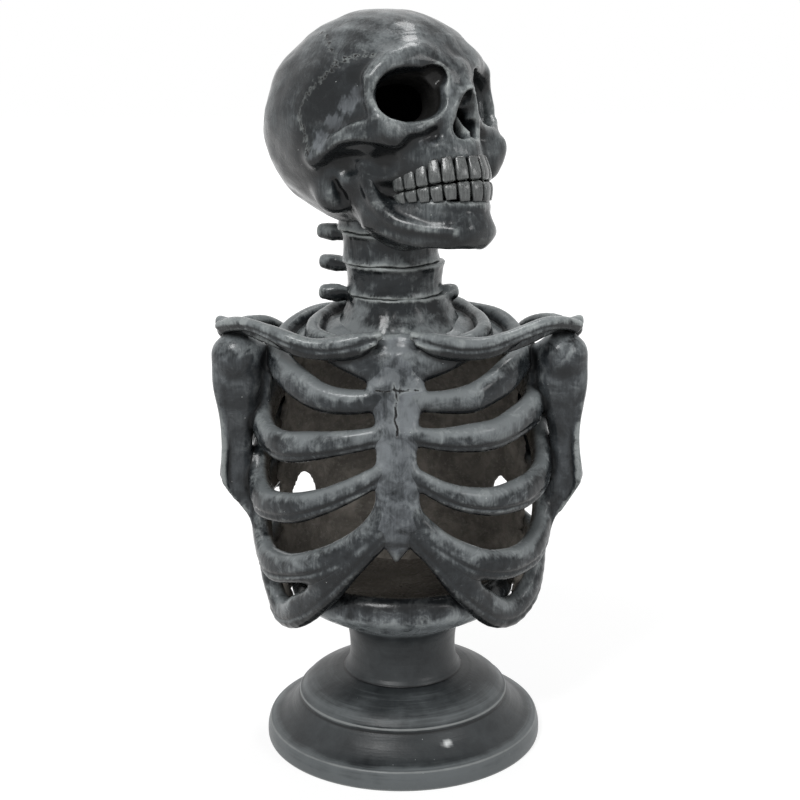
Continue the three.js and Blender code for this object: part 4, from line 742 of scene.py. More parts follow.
def slanted(clay, made, side, s):
    # an arm's field cut off on a slant at its lower outer corner
    window, field = made
    x, z = (clay.places(k, window[k].start, window[k].stop) for k in (0, 2))
    way = unit(s["armCutWay"])
    below = way[1] * (x * side - s["armCut"][0])[:, None, None] - way[0] * (z - s["armCut"][1])[None, None, :]
    return window, np.maximum(field, below).astype(np.float32)


def sculptTorso(t, s, b):
    clay = Clay(t["low"], t["high"], t["step"])
    bones = Bones(clay, t["seam"])
    up, front = np.array([0, 0, 1.0]), np.array([0, -1.0, 0])

    def along(places, count, side=1):
        # a smooth line through places given for the left side, and the share of it passed at each point
        return spline(np.array(places) * (side, 1, 1), count), np.linspace(0, 1, count)

    for side, word in ((-1, "right"), (1, "left")):
        firstRib, collarBone = f"rib_{word}_1", f"collar_bone_{word}"
        blade, upperArm = f"shoulder_blade_{word}", f"upper_arm_{word}"
        across = (1.0 * side, 0, 0)
        for i, path in enumerate(ribPaths[side]):
            line, out, share = ribLine(t, path, side)
            high = t["ribUp"] * table(t["ribUpTable"] if i else t["topRibTable"], share)
            deep = t["ribOut"] * table(t["ribOutTable"] if i else t["topRibTable"], share)
            bones.add(f"rib_{word}_{i + 1}", clay.bar(line, up, out, high, deep * 0.92, ribGrooves[i]))
        # collar bone: a thin S-curved rod with a flat fan below it, doubled at its shoulder end
        line, share = along(s["collar"], 36, side)
        thick = table(s["collarSize"], share)
        bones.add(collarBone, clay.bar(line, up, front, 6.4 * thick, 5.8 * thick, (-0.35, 1.4, 1.0)), 3.5)
        line, share = along(s["fan"], 18, side)
        bones.add(collarBone, clay.bar(line, up, front, table([1.5, 4.5, 4.8, 4.6, 3.5], share), 3.8), 4)
        line, share = along(s["strap"], 16, side)
        bones.add(collarBone, clay.bar(line, up, front, 4.6, 4), 4)
        # cartilage of the first rib, a lens that runs out of the breast bone under the collar bone
        line, share = along(s["cartilage"], 20, side)
        high, deep = table([11, 11, 7.8, 4, 2], share), table([5, 5, 4.4, 3.4, 2.2], share)
        bones.add(firstRib, clay.bar(line, up, front, high, deep), 8)
        # shoulder blade: a thin plate over the ribs with a raised spine that ends over the arm
        for z in np.linspace(s["bladeBottom"], s["bladeTop"], s["bladeRows"]):
            share = (z - 208) / 137
            turns = np.linspace(0.62 - 0.12 * share, 0.7 + 0.16 * min(share * 1.6, 1), 8) * np.pi
            place, out = cagePoint(t, turns, np.full(8, z), s["bladeOut"])
            bones.add(blade, clay.bar(place * (side, 1, 1), up, out * (side, 1, 1), 6.5, 3.6), 4)
        line, share = along(s["ridge"], 22, side)
        wide = table([0.6, 1, 1.1, 1, 0.8], share)
        bones.add(blade, clay.bar(line, (0, -0.6, 0.8), (0, 0.8, 0.6), 7 * wide, 5 * wide), 5)
        # upper arm: round head, flat shaft with a raised outer rim, cut off on a slant
        line, share = along(s["arm"], 48, side)
        shaft = clay.bar(line, front, across, table(s["armDeep"], share), table(s["armWide"], share))
        x, y, z = s["armHead"]
        bones.add(upperArm, clay.oval((x * side, y, z), s["armHeadSize"]), 6)
        bones.add(upperArm, slanted(clay, shaft, side, s), 4)
        line, share = along(s["armRim"], 20, side)
        bones.add(upperArm, slanted(clay, clay.bar(line, across, front, 2.6, 3.4), side, s), 3)
        # thin web between the arm's upper half and the ribs
        line, share = along(s["web"], 12, side)
        bones.add(upperArm, clay.bar(line, across, front, 8.5, 5), 5)
    # breast bone: sternum with a V tip, and the manubrium above it with a notch between two knobs
    place, _ = cagePoint(t, np.zeros(len(b["sternumAt"])), np.array(b["sternumAt"]))
    bones.add("sternum", clay.bar(place, (1, 0, 0), front, b["sternumWide"], 6.3), 5)
    line, share = along(b["tip"], 8)
    wide, deep = table(b["tipWide"], share), np.linspace(6.2, 4.2, 8)
    bones.add("sternum", clay.bar(line, (1, 0, 0), front, wide, deep), 2.5)
    place, _ = cagePoint(t, np.zeros(len(b["manubriumAt"])), np.array(b["manubriumAt"]), 1.0)
    bones.add("manubrium", clay.bar(place, (1, 0, 0), front, b["manubriumWide"], 7.0), 4)
    # backbone: discs with waists, each with a spur down and back
    zs = np.linspace(b["spineFrom"], b["spineTo"], 60)
    place, _ = cagePoint(t, np.full(60, np.pi), zs, 8.5)
    swing = np.cos((zs - b["spineFrom"]) / (b["discs"] * b["discPitch"]) * 2 * b["discs"] * np.pi)
    waist = b["discWide"] * (0.87 + 0.13 * swing)
    bones.add("thoracic_spine", clay.bar(place, (1, 0, 0), (0, 1, 0), waist, waist), 4)
    for i in range(b["discs"]):
        z = b["spineFrom"] + b["discPitch"] * (i + 0.5)
        start, _ = cagePoint(t, np.array([np.pi]), np.array([z]), 14.0)
        line = np.linspace(start[0], start[0] + np.array([0, 13, -8.0]), 5)
        spur = clay.bar(line, (0, 0, 1), (1, 0, 0), np.linspace(8, 5, 5), np.linspace(4.5, 3, 5))
        bones.add("thoracic_spine", spur, 4)
    # the closed crown round the neck, a domed sheet under the first ribs
    window, dome = clay.oval(b["crown"], b["crownSize"])
    z = clay.places(2, window[2].start, window[2].stop)[None, None, :]
    sheet = np.maximum(np.abs(dome + 3.5) - 3.5, b["crownFrom"] - z).astype(np.float32)
    bones.add("chest_top", (window, sheet), 5)
    # notch at the top
    clay.carve(*clay.oval((0, -68, 367), (8.5, 10, 12)), 5)
    return clay, bones


print("torso")
torsoClay, torsoBones = sculptTorso(torso, shoulder, breast)
torsoClay.lumps(45, 0.35, 3)
boneNames = list(torsoBones.own)
nearest, second, owner = torsoBones.shares(boneNames)
edgeField, swellField = bulges(torsoClay, 2.4, 6.5)


def cutOut(name, number):
    # a bone's own piece: the whole surface, sunk gently where a neighbour is nearer
    window, mine = torsoBones.whole(name)
    rival = np.where(owner[window] == number, second[window], nearest[window])
    past = np.maximum(mine - rival, 0)
    field = torsoClay.d[window] + torso["lap"] * past * past
    field = np.where(mine > Clay.far - 0.5, Clay.outside, field)
    low = torsoClay.low + torsoClay.step * np.array([w.start for w in window])
    points, quads = surfaceOf(field, low, torsoClay.step)
    edge, swell = (torsoClay.sample(f, points) for f in (edgeField, swellField))
    # which of the surface looks inwards, where the casting is left bare below the neck's root
    outwards = 1.5 * unit(points * (1, 1.25, 0))
    fall = torsoClay.sample(torsoClay.d, points - outwards) - torsoClay.sample(torsoClay.d, points + outwards)
    raw = np.clip(fall / 2.0 - 0.35, 0, 1) * np.clip((335 - points[:, 2]) / 10, 0, 1)
    return points, quads, edge, swell, raw


# cracks on the front as (sideways, up), looked at square on
cracks = [
    [(-16, 324), (-8, 323.2), (-3, 324.6), (4, 323.4), (10, 324.4), (17, 324)],
    [(-1, 324), (0.5, 316), (-1.2, 311), (-0.4, 306), (-1.6, 301), (0.6, 295), (0.2, 290)],
    [(-2.5, 329), (-1.5, 324)], [(3, 328), (2.4, 322)],
    [(13, 352), (16, 344), (13, 336)], [(-12, 350), (-16, 345)],
]
cracked = ("sternum", "manubrium", "rib_left_2", "rib_right_2")
paintedInside = ("upper_arm", "shoulder", "sternum", "manubrium", "collar")
scuffs = {"sternum": 0.8, "manubrium": 0.7, "upper_arm_left": 0.4, "upper_arm_right": 0.4}
otherScuff = 0.15
frontPlane = -84
for number, name in enumerate(boneNames):
    points, quads, edge, swell, raw = cutOut(name, number)
    line = np.full(len(points), noCrack)
    if name in cracked:
        behind = np.abs(points[:, 1] - frontPlane).clip(0, 40)
        line = lineDistance(points[:, [0, 2]], cracks) + behind * 0.05
    raw = raw * (not name.startswith(paintedInside))
    scuff = np.full(len(points), scuffs.get(name, otherScuff))
    addMesh("cast_" + name, points, quads, bonePaint, {
        "edge": edge, "swell": swell, "line": line, "raw": raw, "scuff": scuff}, name, "bone_paint")
    print("  ", name, len(quads) * 2)


# head: worked out in its own frame, X to its left, -Y forward, Z up
head = {
    "centre": (-17.5, -2.7, 529.0), "yaw": 50.0, "pitch": 14.6, "roll": -6.1,
    "case": (79.6, 95.0, 83.4), "chamber": (60.0, 68.0, 71.0),
    "socket": (39.5, 73.5, -0.5), "socketWide": 27.0, "socketTall": 19.8,
    "socketDepths": [-16, -6, 0, 6, 11, 18, 30, 46],
    "socketWidths": [1.04, 1.0, 0.95, 0.87, 0.82, 0.8, 0.72, 0.6],
    "socketHeights": [1.04, 1.0, 0.95, 0.86, 0.81, 0.79, 0.72, 0.6],
    "faceStep": 1.09, "caseStep": 1.6, "parting": 20.0,
    # cracks are laid out on a ball of this radius; each row is the way that one of its waves runs
    "crackBall": 80.0,
    "wanderBroad": [[0.9, 0.5, -0.3], [-0.4, 0.8, 0.6], [0.5, -0.6, 0.9]],
    "wanderFine": [[1.9, -1.2, 0.7], [-1.1, 1.7, 1.3], [1.4, 1.5, -1.8]],
    # paler scuffs, and darker patches of painted shade: sideways, forward, up, reach
    "scuffs": [(-66, 48, 6, 8), (-70, 38, -1, 9), (-73, 26, -11, 9), (-74, 13, -23, 9), (-73, 4, -31, 7),
               (-12, 90, 2, 6), (-3, 91, 14, 6), (-9, 90, 8, 5), (-30, 77, -24, 7), (-29, 76, -33, 6),
               (-30, 64, -46, 5), (12, 88, 6, 6), (70, 38, -1, 9), (73, 20, -15, 9)],
    "paintedShades": [(-74, 12, 8, 24), (-77, -4, -16, 18), (74, 12, 8, 24), (-62, 44, -20, 9), (0, 20, -118, 26),
               (-52, 8, -68, 12)],
}


def turnAbout(axis, angle):
    c, s = np.cos(angle * rad), np.sin(angle * rad)
    rows = {
        "x": [[1, 0, 0], [0, c, -s], [0, s, c]],
        "y": [[c, 0, s], [0, 1, 0], [-s, 0, c]],
        "z": [[c, -s, 0], [s, c, 0], [0, 0, 1]],
    }
    return np.array(rows[axis], float)


headTurn = turnAbout("z", head["yaw"]) @ turnAbout("x", -head["pitch"]) @ turnAbout("y", -head["roll"])


def fromHead(points):
    return np.asarray(points) @ headTurn.T + np.array(head["centre"])


def mirrored(half):
    # a line of places that ends on the middle, carried on to the other side
    return half + [(-place[0], *place[1:]) for place in half[-2::-1]]


def at(*places):
    # (sideways, forward, up) places as points of the head's frame
    return np.array([(x, -f, u) for x, f, u in places], float)


def sculptHead(clay, h):
    # the skull and the jaw in one clay, so that they run into each other as in one casting
    bones = Bones(clay, 9.0)
    up, front = np.array([0, 0, 1.0]), np.array([0, -1.0, 0])

    def oval(name, place, radii, soft=9.0):
        bones.add(name, clay.oval(tuple(at(place)[0]), radii), soft)

    def rod(name, places, halfUp, halfOut, side=1, out=front, soft=4.0, count=18, way=up):
        # a bar along a smooth line, whose places and outward direction are given for the left side
        line = spline(at(*places) * (side, 1, 1), count)
        share = np.linspace(0, 1, count)
        bones.add(name, clay.bar(line, way, np.asarray(out) * (side, 1, 1), table(halfUp, share),
                                 table(halfOut, share)), soft)

    def hollow(place, radii, soft):
        clay.carve(*clay.oval(tuple(at(place)[0]), radii), soft)

    def awayFrom(places, count, middle):
        # outward directions along a smooth line that runs round a middle
        return unit(spline(at(*places), count) - at(middle))

    oval("skull", (0, -0.94, 0), h["case"])
    oval("skull", (0, 30, 25), (63, 58, 49.5))
    oval("skull", (0, 52, -38), (39, 36, 28), 10)
    oval("skull", (0, 18, -42), (54, 38, 26), 8)
    oval("skull", (0, 42, -60), (30, 36, 24), 8)
    for side in (-1, 1):
        oval("skull", (50 * side, -6, -56), (14.5, 16, 18), 7)
        # temple, the hollow inside the cheek arch and the one below the cheek bone
        hollow((88 * side, 39, -2), (17, 27, 35), 14)
        hollow((72 * side, 27, -44), (18, 22, 11), 7)
        hollow((57 * side, 6, -69), (7, 4, 21), 6)
        hollow((54 * side, 54, -47), (12, 13, 10), 7)
        hollow((30 * side, 83, -31), (8, 5, 8), 7)
    # ridge that carries the upper teeth
    arch = mirrored([(-31, 46, -51), (-28.5, 60, -48.5), (-24, 75, -45.5), (-15, 87, -43.5), (0, 93.5, -43)])
    rod("skull", arch, [8, 8.5, 9, 9, 9, 9, 9, 8.5, 8], [6, 6.2, 5.6, 5.2, 5, 5.2, 5.6, 6.2, 6],
        out=awayFrom(arch, 30, (0, 40, -46)), soft=8, count=30)
    outOfSocket = (0.4, -0.9, 0)
    for side in (-1, 1):
        # cheek bone with its knob, the arch back to its root, and the post beside the socket
        # its left side hangs lower and further out than its right
        ahead, drop = (6, -11) if side > 0 else (0, 0)
        oval("skull", (50 * side, 66 + ahead, -24 + drop), (14, 10, 10), 7)
        oval("skull", (54 * side, 68 + ahead, -27 + drop), (7.5, 7, 9), 5)
        if side > 0:
            oval("skull", (44, 70, -46), (14, 13, 17), 9)
        rod("skull", [(52, 67 + ahead, -25 + drop), (63, 56, -23), (69, 44, -21.5), (72.5, 30, -23.5),
                      (73.5, 16, -28), (71, 0, -32)], [9.5, 8.8, 7.4, 5.2, 4.6, 6.5],
            [5.5, 4.8, 4.2, 3.8, 4.2, 6], side, out=(1, 0.35, 0), soft=7, count=24)
        rod("skull", [(54, 66 + ahead / 2, 21), (62.5, 60 + ahead / 2, 13), (64.5, 58 + ahead, 0),
                      (60, 61 + ahead, -15 + drop)], [5.6, 5, 4.6, 6], [5.5, 4.8, 4.6, 5.5],
            side, out=(0.8, -0.6, 0), soft=6)
        # brow ridge, thick above the socket, running into the forehead
        rod("skull", [(59, 61, 16), (52, 68, 24), (42, 75, 28.5), (29, 80, 28.5), (16, 85, 23), (8, 89, 16)],
            [4.5, 5, 5.2, 5.2, 5, 4.5], [4.5, 5, 5, 5, 5, 4.5], side, out=outOfSocket, soft=14, count=20)
        # thin lip over the socket
        rod("skull", [(62, 59 + ahead / 2, 7), (58, 65 + ahead / 2, 17), (50.5, 72.5, 23), (42, 78.5, 25.5),
                      (31, 83.5, 25.5), (21, 88, 22), (13, 91.5, 16)], [1.2, 1.7, 1.8, 1.8, 1.8, 1.7, 1.2],
            [2, 2.4, 2.5, 2.5, 2.5, 2.4, 2], side, out=outOfSocket, soft=3, count=26)
        # lower rim
        rod("skull", [(60, 62 + ahead, -15), (51, 70 + ahead / 2, -24), (39, 76, -25), (26, 81, -20),
                      (15, 87, -10), (10, 91, 3)], [4, 4.5, 4.4, 3.6, 3.4, 3.6], [5, 5.5, 5, 4.5, 4.2, 4.5],
            side, out=outOfSocket, soft=6, count=20)
    # bridge and edges of the nose opening
    rod("skull", [(0, 89, 17), (0, 93, 9), (0, 98, 0.5)], [8, 7.5, 6.8], [8, 6.5, 5],
        out=(1, 0, 0), soft=6, way=front)
    for side in (-1, 1):
        rod("skull", [(7, 96, -1), (12.5, 91, -14), (15, 88, -25), (11, 89.5, -35), (0, 93, -38)],
            [3, 3, 3.4, 3, 3], [4, 3.6, 3.6, 3.2, 3.5], side, soft=5)
    # lower jaw: deep body, upright plates, the ridge down to the chin, and the filled cheek
    body = mirrored([(-43, 25, -78), (-38.5, 43, -88), (-28.5, 65, -96), (-15, 82, -99.5), (0, 88, -100.5)])
    rod("jaw", body, [13, 15, 17.5, 17, 16.5, 17, 17.5, 15, 13], [5, 5.5, 6.5, 7.5, 8, 7.5, 6.5, 5.5, 5],
        out=awayFrom(body, 44, (0, 38, -92)), soft=6, count=44)
    oval("jaw", (0, 87, -103), (19, 9.5, 10.5), 8)
    oval("jaw", (0, 42, -92), (34, 38, 17), 8)
    oval("jaw", (0, 20, -72), (46, 31, 34), 8)
    oval("jaw", (0, 44, -68), (30, 36, 20), 8)
    for side in (-1, 1):
        oval("jaw", (11 * side, 84.5, -106), (9, 8.5, 7.5), 6)
        rod("jaw", [(43, 24, -86), (46.5, 22, -68), (50, 21, -50), (52.5, 22, -40)], [13.5, 12, 12.5, 13],
            [5, 4.2, 3.8, 3.2], side, out=(1, 0.2, 0), way=front)
        rod("jaw", [(52, 9, -52), (56, 5, -40)], [5, 6], [4.5, 5.5], side, out=(1, 0, 0), way=front, count=6)
        rod("jaw", [(51, 31, -44), (50, 33, -64), (43.5, 44, -86), (33.5, 66, -98.5), (21, 86, -104)],
            [3, 3.6, 3.8, 3.2, 2.4], [3, 3.8, 4, 3.6, 2.6], side, out=(0.8, -0.6, 0), soft=6, way=front)
    # lip of bone under the lower teeth
    lip = mirrored([(-32.5, 46, -76), (-30, 60, -78.5), (-25.5, 74, -81), (-17, 86, -84), (0, 95.5, -86)])
    rod("jaw", lip, [3.5] * 9, [3.8, 4, 4, 4, 4, 4, 4, 4, 3.8],
        out=awayFrom(lip, 32, (0, 40, -80)), soft=4, count=32)
    clay.lumps(46, 0.5, 13)
    clay.lumps(13, 0.13, 14)
    # the surface before the openings are carved, which sets how much painted shade lies in them
    whole = clay.d.copy()
    # sockets: wide funnels that narrow towards the chamber; the left one is narrower and nearer the nose
    for side in (-1, 1):
        nearer, narrower = (3, 0.92) if side > 0 else (0, 1)
        centre = at(h["socket"])[0] * (side, 1, 1) - (nearer, 0, 0)
        sideways, inward = unit(at((54 * side, -31, 0)))[0], unit(at((-0.36 * side, -0.93, -0.04)))[0]
        line = centre + np.outer(h["socketDepths"], inward)
        wide = h["socketWide"] * np.array(h["socketWidths"]) * narrower
        tall = h["socketTall"] * np.array(h["socketHeights"])
        clay.carve(*clay.bar(line, up, sideways, tall, wide, blunt=0.35), 2.6)
        hollow((23.5 * side, 87, 12), (11, 9, 9), 3)
    # nose opening, wider below, with a thin wall that halves it
    hollow((0, 99, -7), (5.5, 12, 8), 2.2)
    hollow((0, 97, -17), (9, 14, 10), 2.2)
    for side in (-1, 1):
        hollow((6 * side, 94, -27), (7, 15, 8), 2.2)
    hollow((0, 72, -19), (9.5, 22, 11), 2)
    line = spline(at((0, 91, -34), (0, 84, -26), (0, 76, -12)), 8)
    bones.add("skull", clay.bar(line, (1, 0, 0), front, 1.5, 6), 2)
    # chamber for the lamp, open below into the neck
    hollow((0, -6, 0), h["chamber"], 3)
    return bones, whole


def headPiece(name, bones, whole, node, keep=0, lines=()):
    # one named piece of the head: the shared surface, sunk past its own share of it
    # keep: 1 for what lies in front of the parting, -1 for what lies behind it
    clay = bones.clay
    other = "jaw" if node == "skull" else "skull"
    own, rival = (np.full(clay.count, Clay.far, np.float32) for _ in range(2))
    for target, key in ((own, node), (rival, other)):
        window, field = bones.whole(key)
        target[window] = field
    past = np.maximum(own - rival, 0)
    field = clay.d + 0.3 * past * past
    if keep:
        past = np.maximum(keep * (clay.places(1) + head["parting"]), 0)
        field = field + 0.12 * past[None, :, None] ** 2
    points, quads = surfaceOf(field, clay.low, clay.step)
    sharp, broad = bulges(clay, 2.4, 7.0)
    # cracks wander over the case as seen from its middle
    ball = unit(points) * head["crackBall"]
    wander = np.sin(ball @ np.array(head["wanderBroad"]).T + np.arange(3))
    wander += 0.6 * np.sin(ball @ np.array(head["wanderFine"]).T + np.arange(3))
    line = np.full(len(points), noCrack)
    if lines:
        line = lineDistance(ball + 1.3 * wander, [unit(l) * head["crackBall"] for l in lines])
    scuff = np.zeros(len(points))
    for x, f, u, r in head["scuffs"]:
        apart = np.linalg.norm(points - (x, -f, u), axis=1) + 1.2 * (wander[:, 0] + wander[:, 1])
        scuff = np.maximum(scuff, np.clip((r - apart) / 3.0, 0, 1))
    # patches of painted shade, kept as values below zero where no scuff lies
    for x, f, u, r in head["paintedShades"]:
        apart = np.linalg.norm(points - (x, -f, u), axis=1) + 1.6 * (wander[:, 0] + wander[:, 2])
        scuff = np.where(scuff > 0, scuff, np.minimum(scuff, -np.clip((r - apart) / 9.0, 0, 1)))
    # how far a place lies below the uncarved surface, for painted shade in the openings
    pit = np.clip(-clay.sample(whole, points) / 12.0, 0, 1)
    addMesh(name, fromHead(points), quads, headPaint, {
        "edge": clay.sample(sharp, points), "swell": clay.sample(broad, points), "line": line, "pit": pit,
        "scuff": scuff}, node, "bone_paint")
    print("  ", name, len(quads) * 2)


print("head")
# seams of the skull's plates on its right, through places found on the photograph; the left ones mirror them
sutures = [
    [(-50, 2, 66), (-56, 13, 59), (-61, 18, 52), (-64, 24, 45), (-69, 32, 31)],
    [(-69, 32, 31), (-65, 38, 34), (-60, 47, 34), (-54, 59, 31)],
    [(-69, 32, 31), (-73, 24, 25), (-76, 15, 20), (-79, 4, 12), (-80, -3, 4), (-79, -3, -5), (-79, 1, -13),
     (-77, 0, -23), (-74, -2, -32)],
]
sutures = [at(*line) for line in sutures]
sutures += [line * (-1, 1, 1) for line in sutures]
faceClay = Clay((-86, -114, -126), (86, 14, 90), head["faceStep"])
faceBones, faceWhole = sculptHead(faceClay, head)
headPiece("cast_face", faceBones, faceWhole, "skull", 1, sutures)
headPiece("cast_jaw", faceBones, faceWhole, "jaw")
caseClay = Clay((-86, -head["parting"] - 12, -90), (86, 100, 90), head["caseStep"])
caseBones, caseWhole = sculptHead(caseClay, head)
headPiece("cast_brain_case", caseBones, caseWhole, "skull", -1, sutures)


# teeth: each a rounded block whose width and depth follow tables from root to biting edge
teeth = {
    "count": 14,
    "arch": mirrored([(-36.5, 46), (-34.6, 60), (-30, 74), (-22, 87.5), (-11.5, 96), (0, 99.5)]),
    # heights at the back, half way and in front
    "upperRoot": [-50, -48.5, -48.5], "upperBite": [-67.8, -66.8, -67.0],
    "lowerBite": [-68.8, -67.8, -68.0], "lowerRoot": [-77, -79.5, -83.5],
    "halfDeep": 3.9, "lean": 0.8,
    "wide": [0.82, 0.9, 0.95, 1.0, 1.02, 1.03, 1.02, 0.96],
    "deep": [0.7, 0.85, 0.98, 1.08, 1.12, 1.08, 0.98, 0.8],
}


def toothRow(name, roots, bites, t, node, seed):
    rng = np.random.default_rng(seed)
    arc = spline(t["arch"], 400)
    run = travelled(arc)
    pitch = run[-1] / t["count"]
    rows, sides = 20, 20
    share = np.linspace(0, 1, rows)
    angle = np.arange(sides) / sides * 2 * np.pi
    right = np.sign(np.cos(angle)) * np.abs(np.cos(angle)) ** 0.42
    ahead = np.sign(np.sin(angle)) * np.abs(np.sin(angle)) ** 0.6
    allPoints, allFaces, allEdge, allToothShade, used = [], [], [], [], 0
    for i in range(t["count"]):
        middle = (i + 0.5) * pitch
        forward = 1 - abs(2 * middle / run[-1] - 1)
        spot, further = placesAt([middle, middle + 0.5], run, arc)
        along = unit(further - spot)
        out = np.array([-along[1], along[0]])
        out = out if out @ (spot - (0, 45)) > 0 else -out
        end = np.interp(forward, [0, 0.5, 1], bites) + rng.uniform(-0.5, 0.5)
        top = np.interp(forward, [0, 0.5, 1], roots) + rng.uniform(-0.6, 0.6)
        half = pitch * 0.485 * rng.uniform(0.95, 1.02)
        wide, deep = half * table(t["wide"], share), t["halfDeep"] * table(t["deep"], share)
        # rounded off at the biting edge
        full = np.clip((1 - share) / 0.11, 0, 1) ** 0.5
        wide, deep = wide * (0.7 + 0.3 * full), deep * (0.5 + 0.5 * full)
        level = top + (end - top) * (1 - (1 - share) ** 1.15)
        lean = t["lean"] * (1 - share) ** 1.3
        sideways, outward = right * wide[:, None], ahead * deep[:, None] - lean[:, None]
        x, f = (spot[k] + along[k] * sideways + out[k] * outward for k in (0, 1))
        u = level[:, None] + 0 * x + 0.3 * np.sin(3 * right + seed) * share[:, None] ** 4
        points = np.stack([x, -f, u], -1).reshape(-1, 3)
        caps = np.array([[spot[0] - out[0] * 0.8, -(spot[1] - out[1] * 0.8), top], [spot[0], -spot[1], end]])
        grid = np.arange(rows * sides).reshape(rows, sides)
        quads = ringQuads(grid[:-1], grid[1:])
        tri = [np.stack([grid[0], np.full(sides, rows * sides), np.roll(grid[0], -1)], -1),
               np.stack([grid[-1], np.roll(grid[-1], -1), np.full(sides, rows * sides + 1)], -1)]
        tris = np.vstack([quads[:, [0, 1, 2]], quads[:, [0, 2, 3]], *tri])
        if end > top:
            tris = tris[:, ::-1]
        allPoints.append(np.vstack([points, caps]))
        allFaces.append(tris + used)
        used += rows * sides + 2
        # paler corners in front and at the biting edge, worn paint with a painted highlight; painted shade on
        # the sides and at the root
        corner = np.clip(np.abs(right) * 1.1 - 0.3, 0, 1) * np.clip(ahead + 0.4, 0, 1) * share[:, None]
        bite = np.clip(share - 0.82, 0, 1)[:, None] * 2
        allEdge.append(np.concatenate([(corner * 0.5 + bite).ravel(), [0, 0.3]]))
        side = np.clip((np.abs(right) - 0.86) * 6, 0, 1) + np.clip(0.25 - share, 0, 1)[:, None] * 3
        allToothShade.append(np.concatenate([side.ravel(), [1, 0.4]]))
    points, faces = np.vstack(allPoints), np.vstack(allFaces)
    corner = points[faces]
    volume = np.einsum("ij,ij->i", corner[:, 0], np.cross(corner[:, 1], corner[:, 2])).sum()
    faces = faces if volume > 0 else faces[:, ::-1]
    attributes = {"edge": np.concatenate(allEdge), "gum": np.concatenate(allToothShade)}
    addMesh(name, fromHead(points), faces, toothPaint, attributes, node, "bone_paint")


print("teeth")
toothRow("upper_teeth", teeth["upperRoot"], teeth["upperBite"], teeth, "skull", 5)
toothRow("lower_teeth", teeth["lowerRoot"], teeth["lowerBite"], teeth, "jaw", 6)


# neck: rings with a lip at the top, each with a rounded spur
neck = {
    "centreY": 4.0, "base": 357.0, "baseTall": 31.5, "ringTall": 26.0,
    "centres": [0, -3.2, -6.4, -9.9], "reach": [0, 74, 71.8, 66.6], "spurTurn": 60.0,
    "baseProfile": [(0, 52), (0.06, 52), (0.2, 50.5), (0.4, 46.5), (0.6, 43), (0.8, 41), (0.93, 40.4),
                    (1, 41)],
    "sideTurn": 1.25, "sideSpan": 0.34, "proud": 0.7, "corner": 1.5,
    "ringProfile": [(0, 40), (0.08, 39.2), (0.2, 38.3), (0.5, 38), (0.78, 38.8), (0.9, 40), (1, 40.2)],
}


def neckRing(n, i):
    bottom = n["base"] + (n["baseTall"] + (i - 1) * n["ringTall"] if i else 0)
    tall = n["baseTall"] if i == 0 else n["ringTall"]
    cx, cy = n["centres"][i], n["centreY"]
    clay = Clay((cx - 82, cy - 60, bottom - 8), (cx + 70, cy + 60, bottom + tall + 9), 1.15)
    cut, x, y, z = clay.window(clay.low, clay.low + clay.step * clay.count)
    # a turned ring: level distance past the profile's radius, which follows the height
    profile = np.array(n["baseProfile"] if i == 0 else n["ringProfile"])
    radius = np.interp((z - bottom) / tall, profile[:, 0], profile[:, 1])
    reach = np.hypot(x - cx, y - cy)
    turn = np.arctan2(x - cx, -(y - cy))
    # raised strips down its two sides
    proud = np.where(np.abs(np.abs(turn) - n["sideTurn"]) < n["sideSpan"], n["proud"], 0)
    ends = np.maximum(bottom - 0.2 - z, z - bottom - tall + 0.35)
    side = reach - radius - proud
    # a rounded corner where the side meets the ends
    corner = np.hypot(np.maximum(side + n["corner"], 0), np.maximum(ends + n["corner"], 0)) - n["corner"]
    body = np.maximum(np.maximum(side, ends), corner)
    clay.press(cut, np.clip(body, -Clay.far, Clay.far).astype(np.float32), 2.0)

    def stub(turn, to, up):
        # a rounded spur that sticks out this far from the axis, at this share of the ring's height
        out = np.array([-np.sin(turn), np.cos(turn), 0])
        line = np.array([cx, cy, bottom + tall * up]) + np.outer(np.linspace(26, to, 9), out)
        line[:, 2] += np.linspace(0, 1, 9) ** 2 * 1.5
        size = table([6.5, 6, 5.6, 7.2, 6.2], np.linspace(0, 1, 9))
        clay.press(*clay.bar(line, (0, 0, 1), np.cross(out, (0, 0, 1)), size, size * 0.95), 4)

    if i:
        stub(n["spurTurn"] * rad, n["reach"][i] - 6, 0.66)
    else:
        stub(90 * rad, 60, 0.92)
        stub(-90 * rad, 43, 0.92)
    clay.lumps(30, 0.3, 40 + i)
    clay.lumps(11, 0.1, 50 + i)
    points, quads = surfaceOf(clay.d, clay.low, clay.step)
    sharp, broad = bulges(clay, 2.4, 6.5)
    addMesh(f"cast_neck_ring_{i + 1}", points, quads, bonePaint, {
        "edge": clay.sample(sharp, points), "swell": clay.sample(broad, points),
        "line": np.full(len(points), noCrack)}, f"neck_ring_{i + 1}", "bone_paint")


print("neck")
for i in range(4):
    neckRing(neck, i)


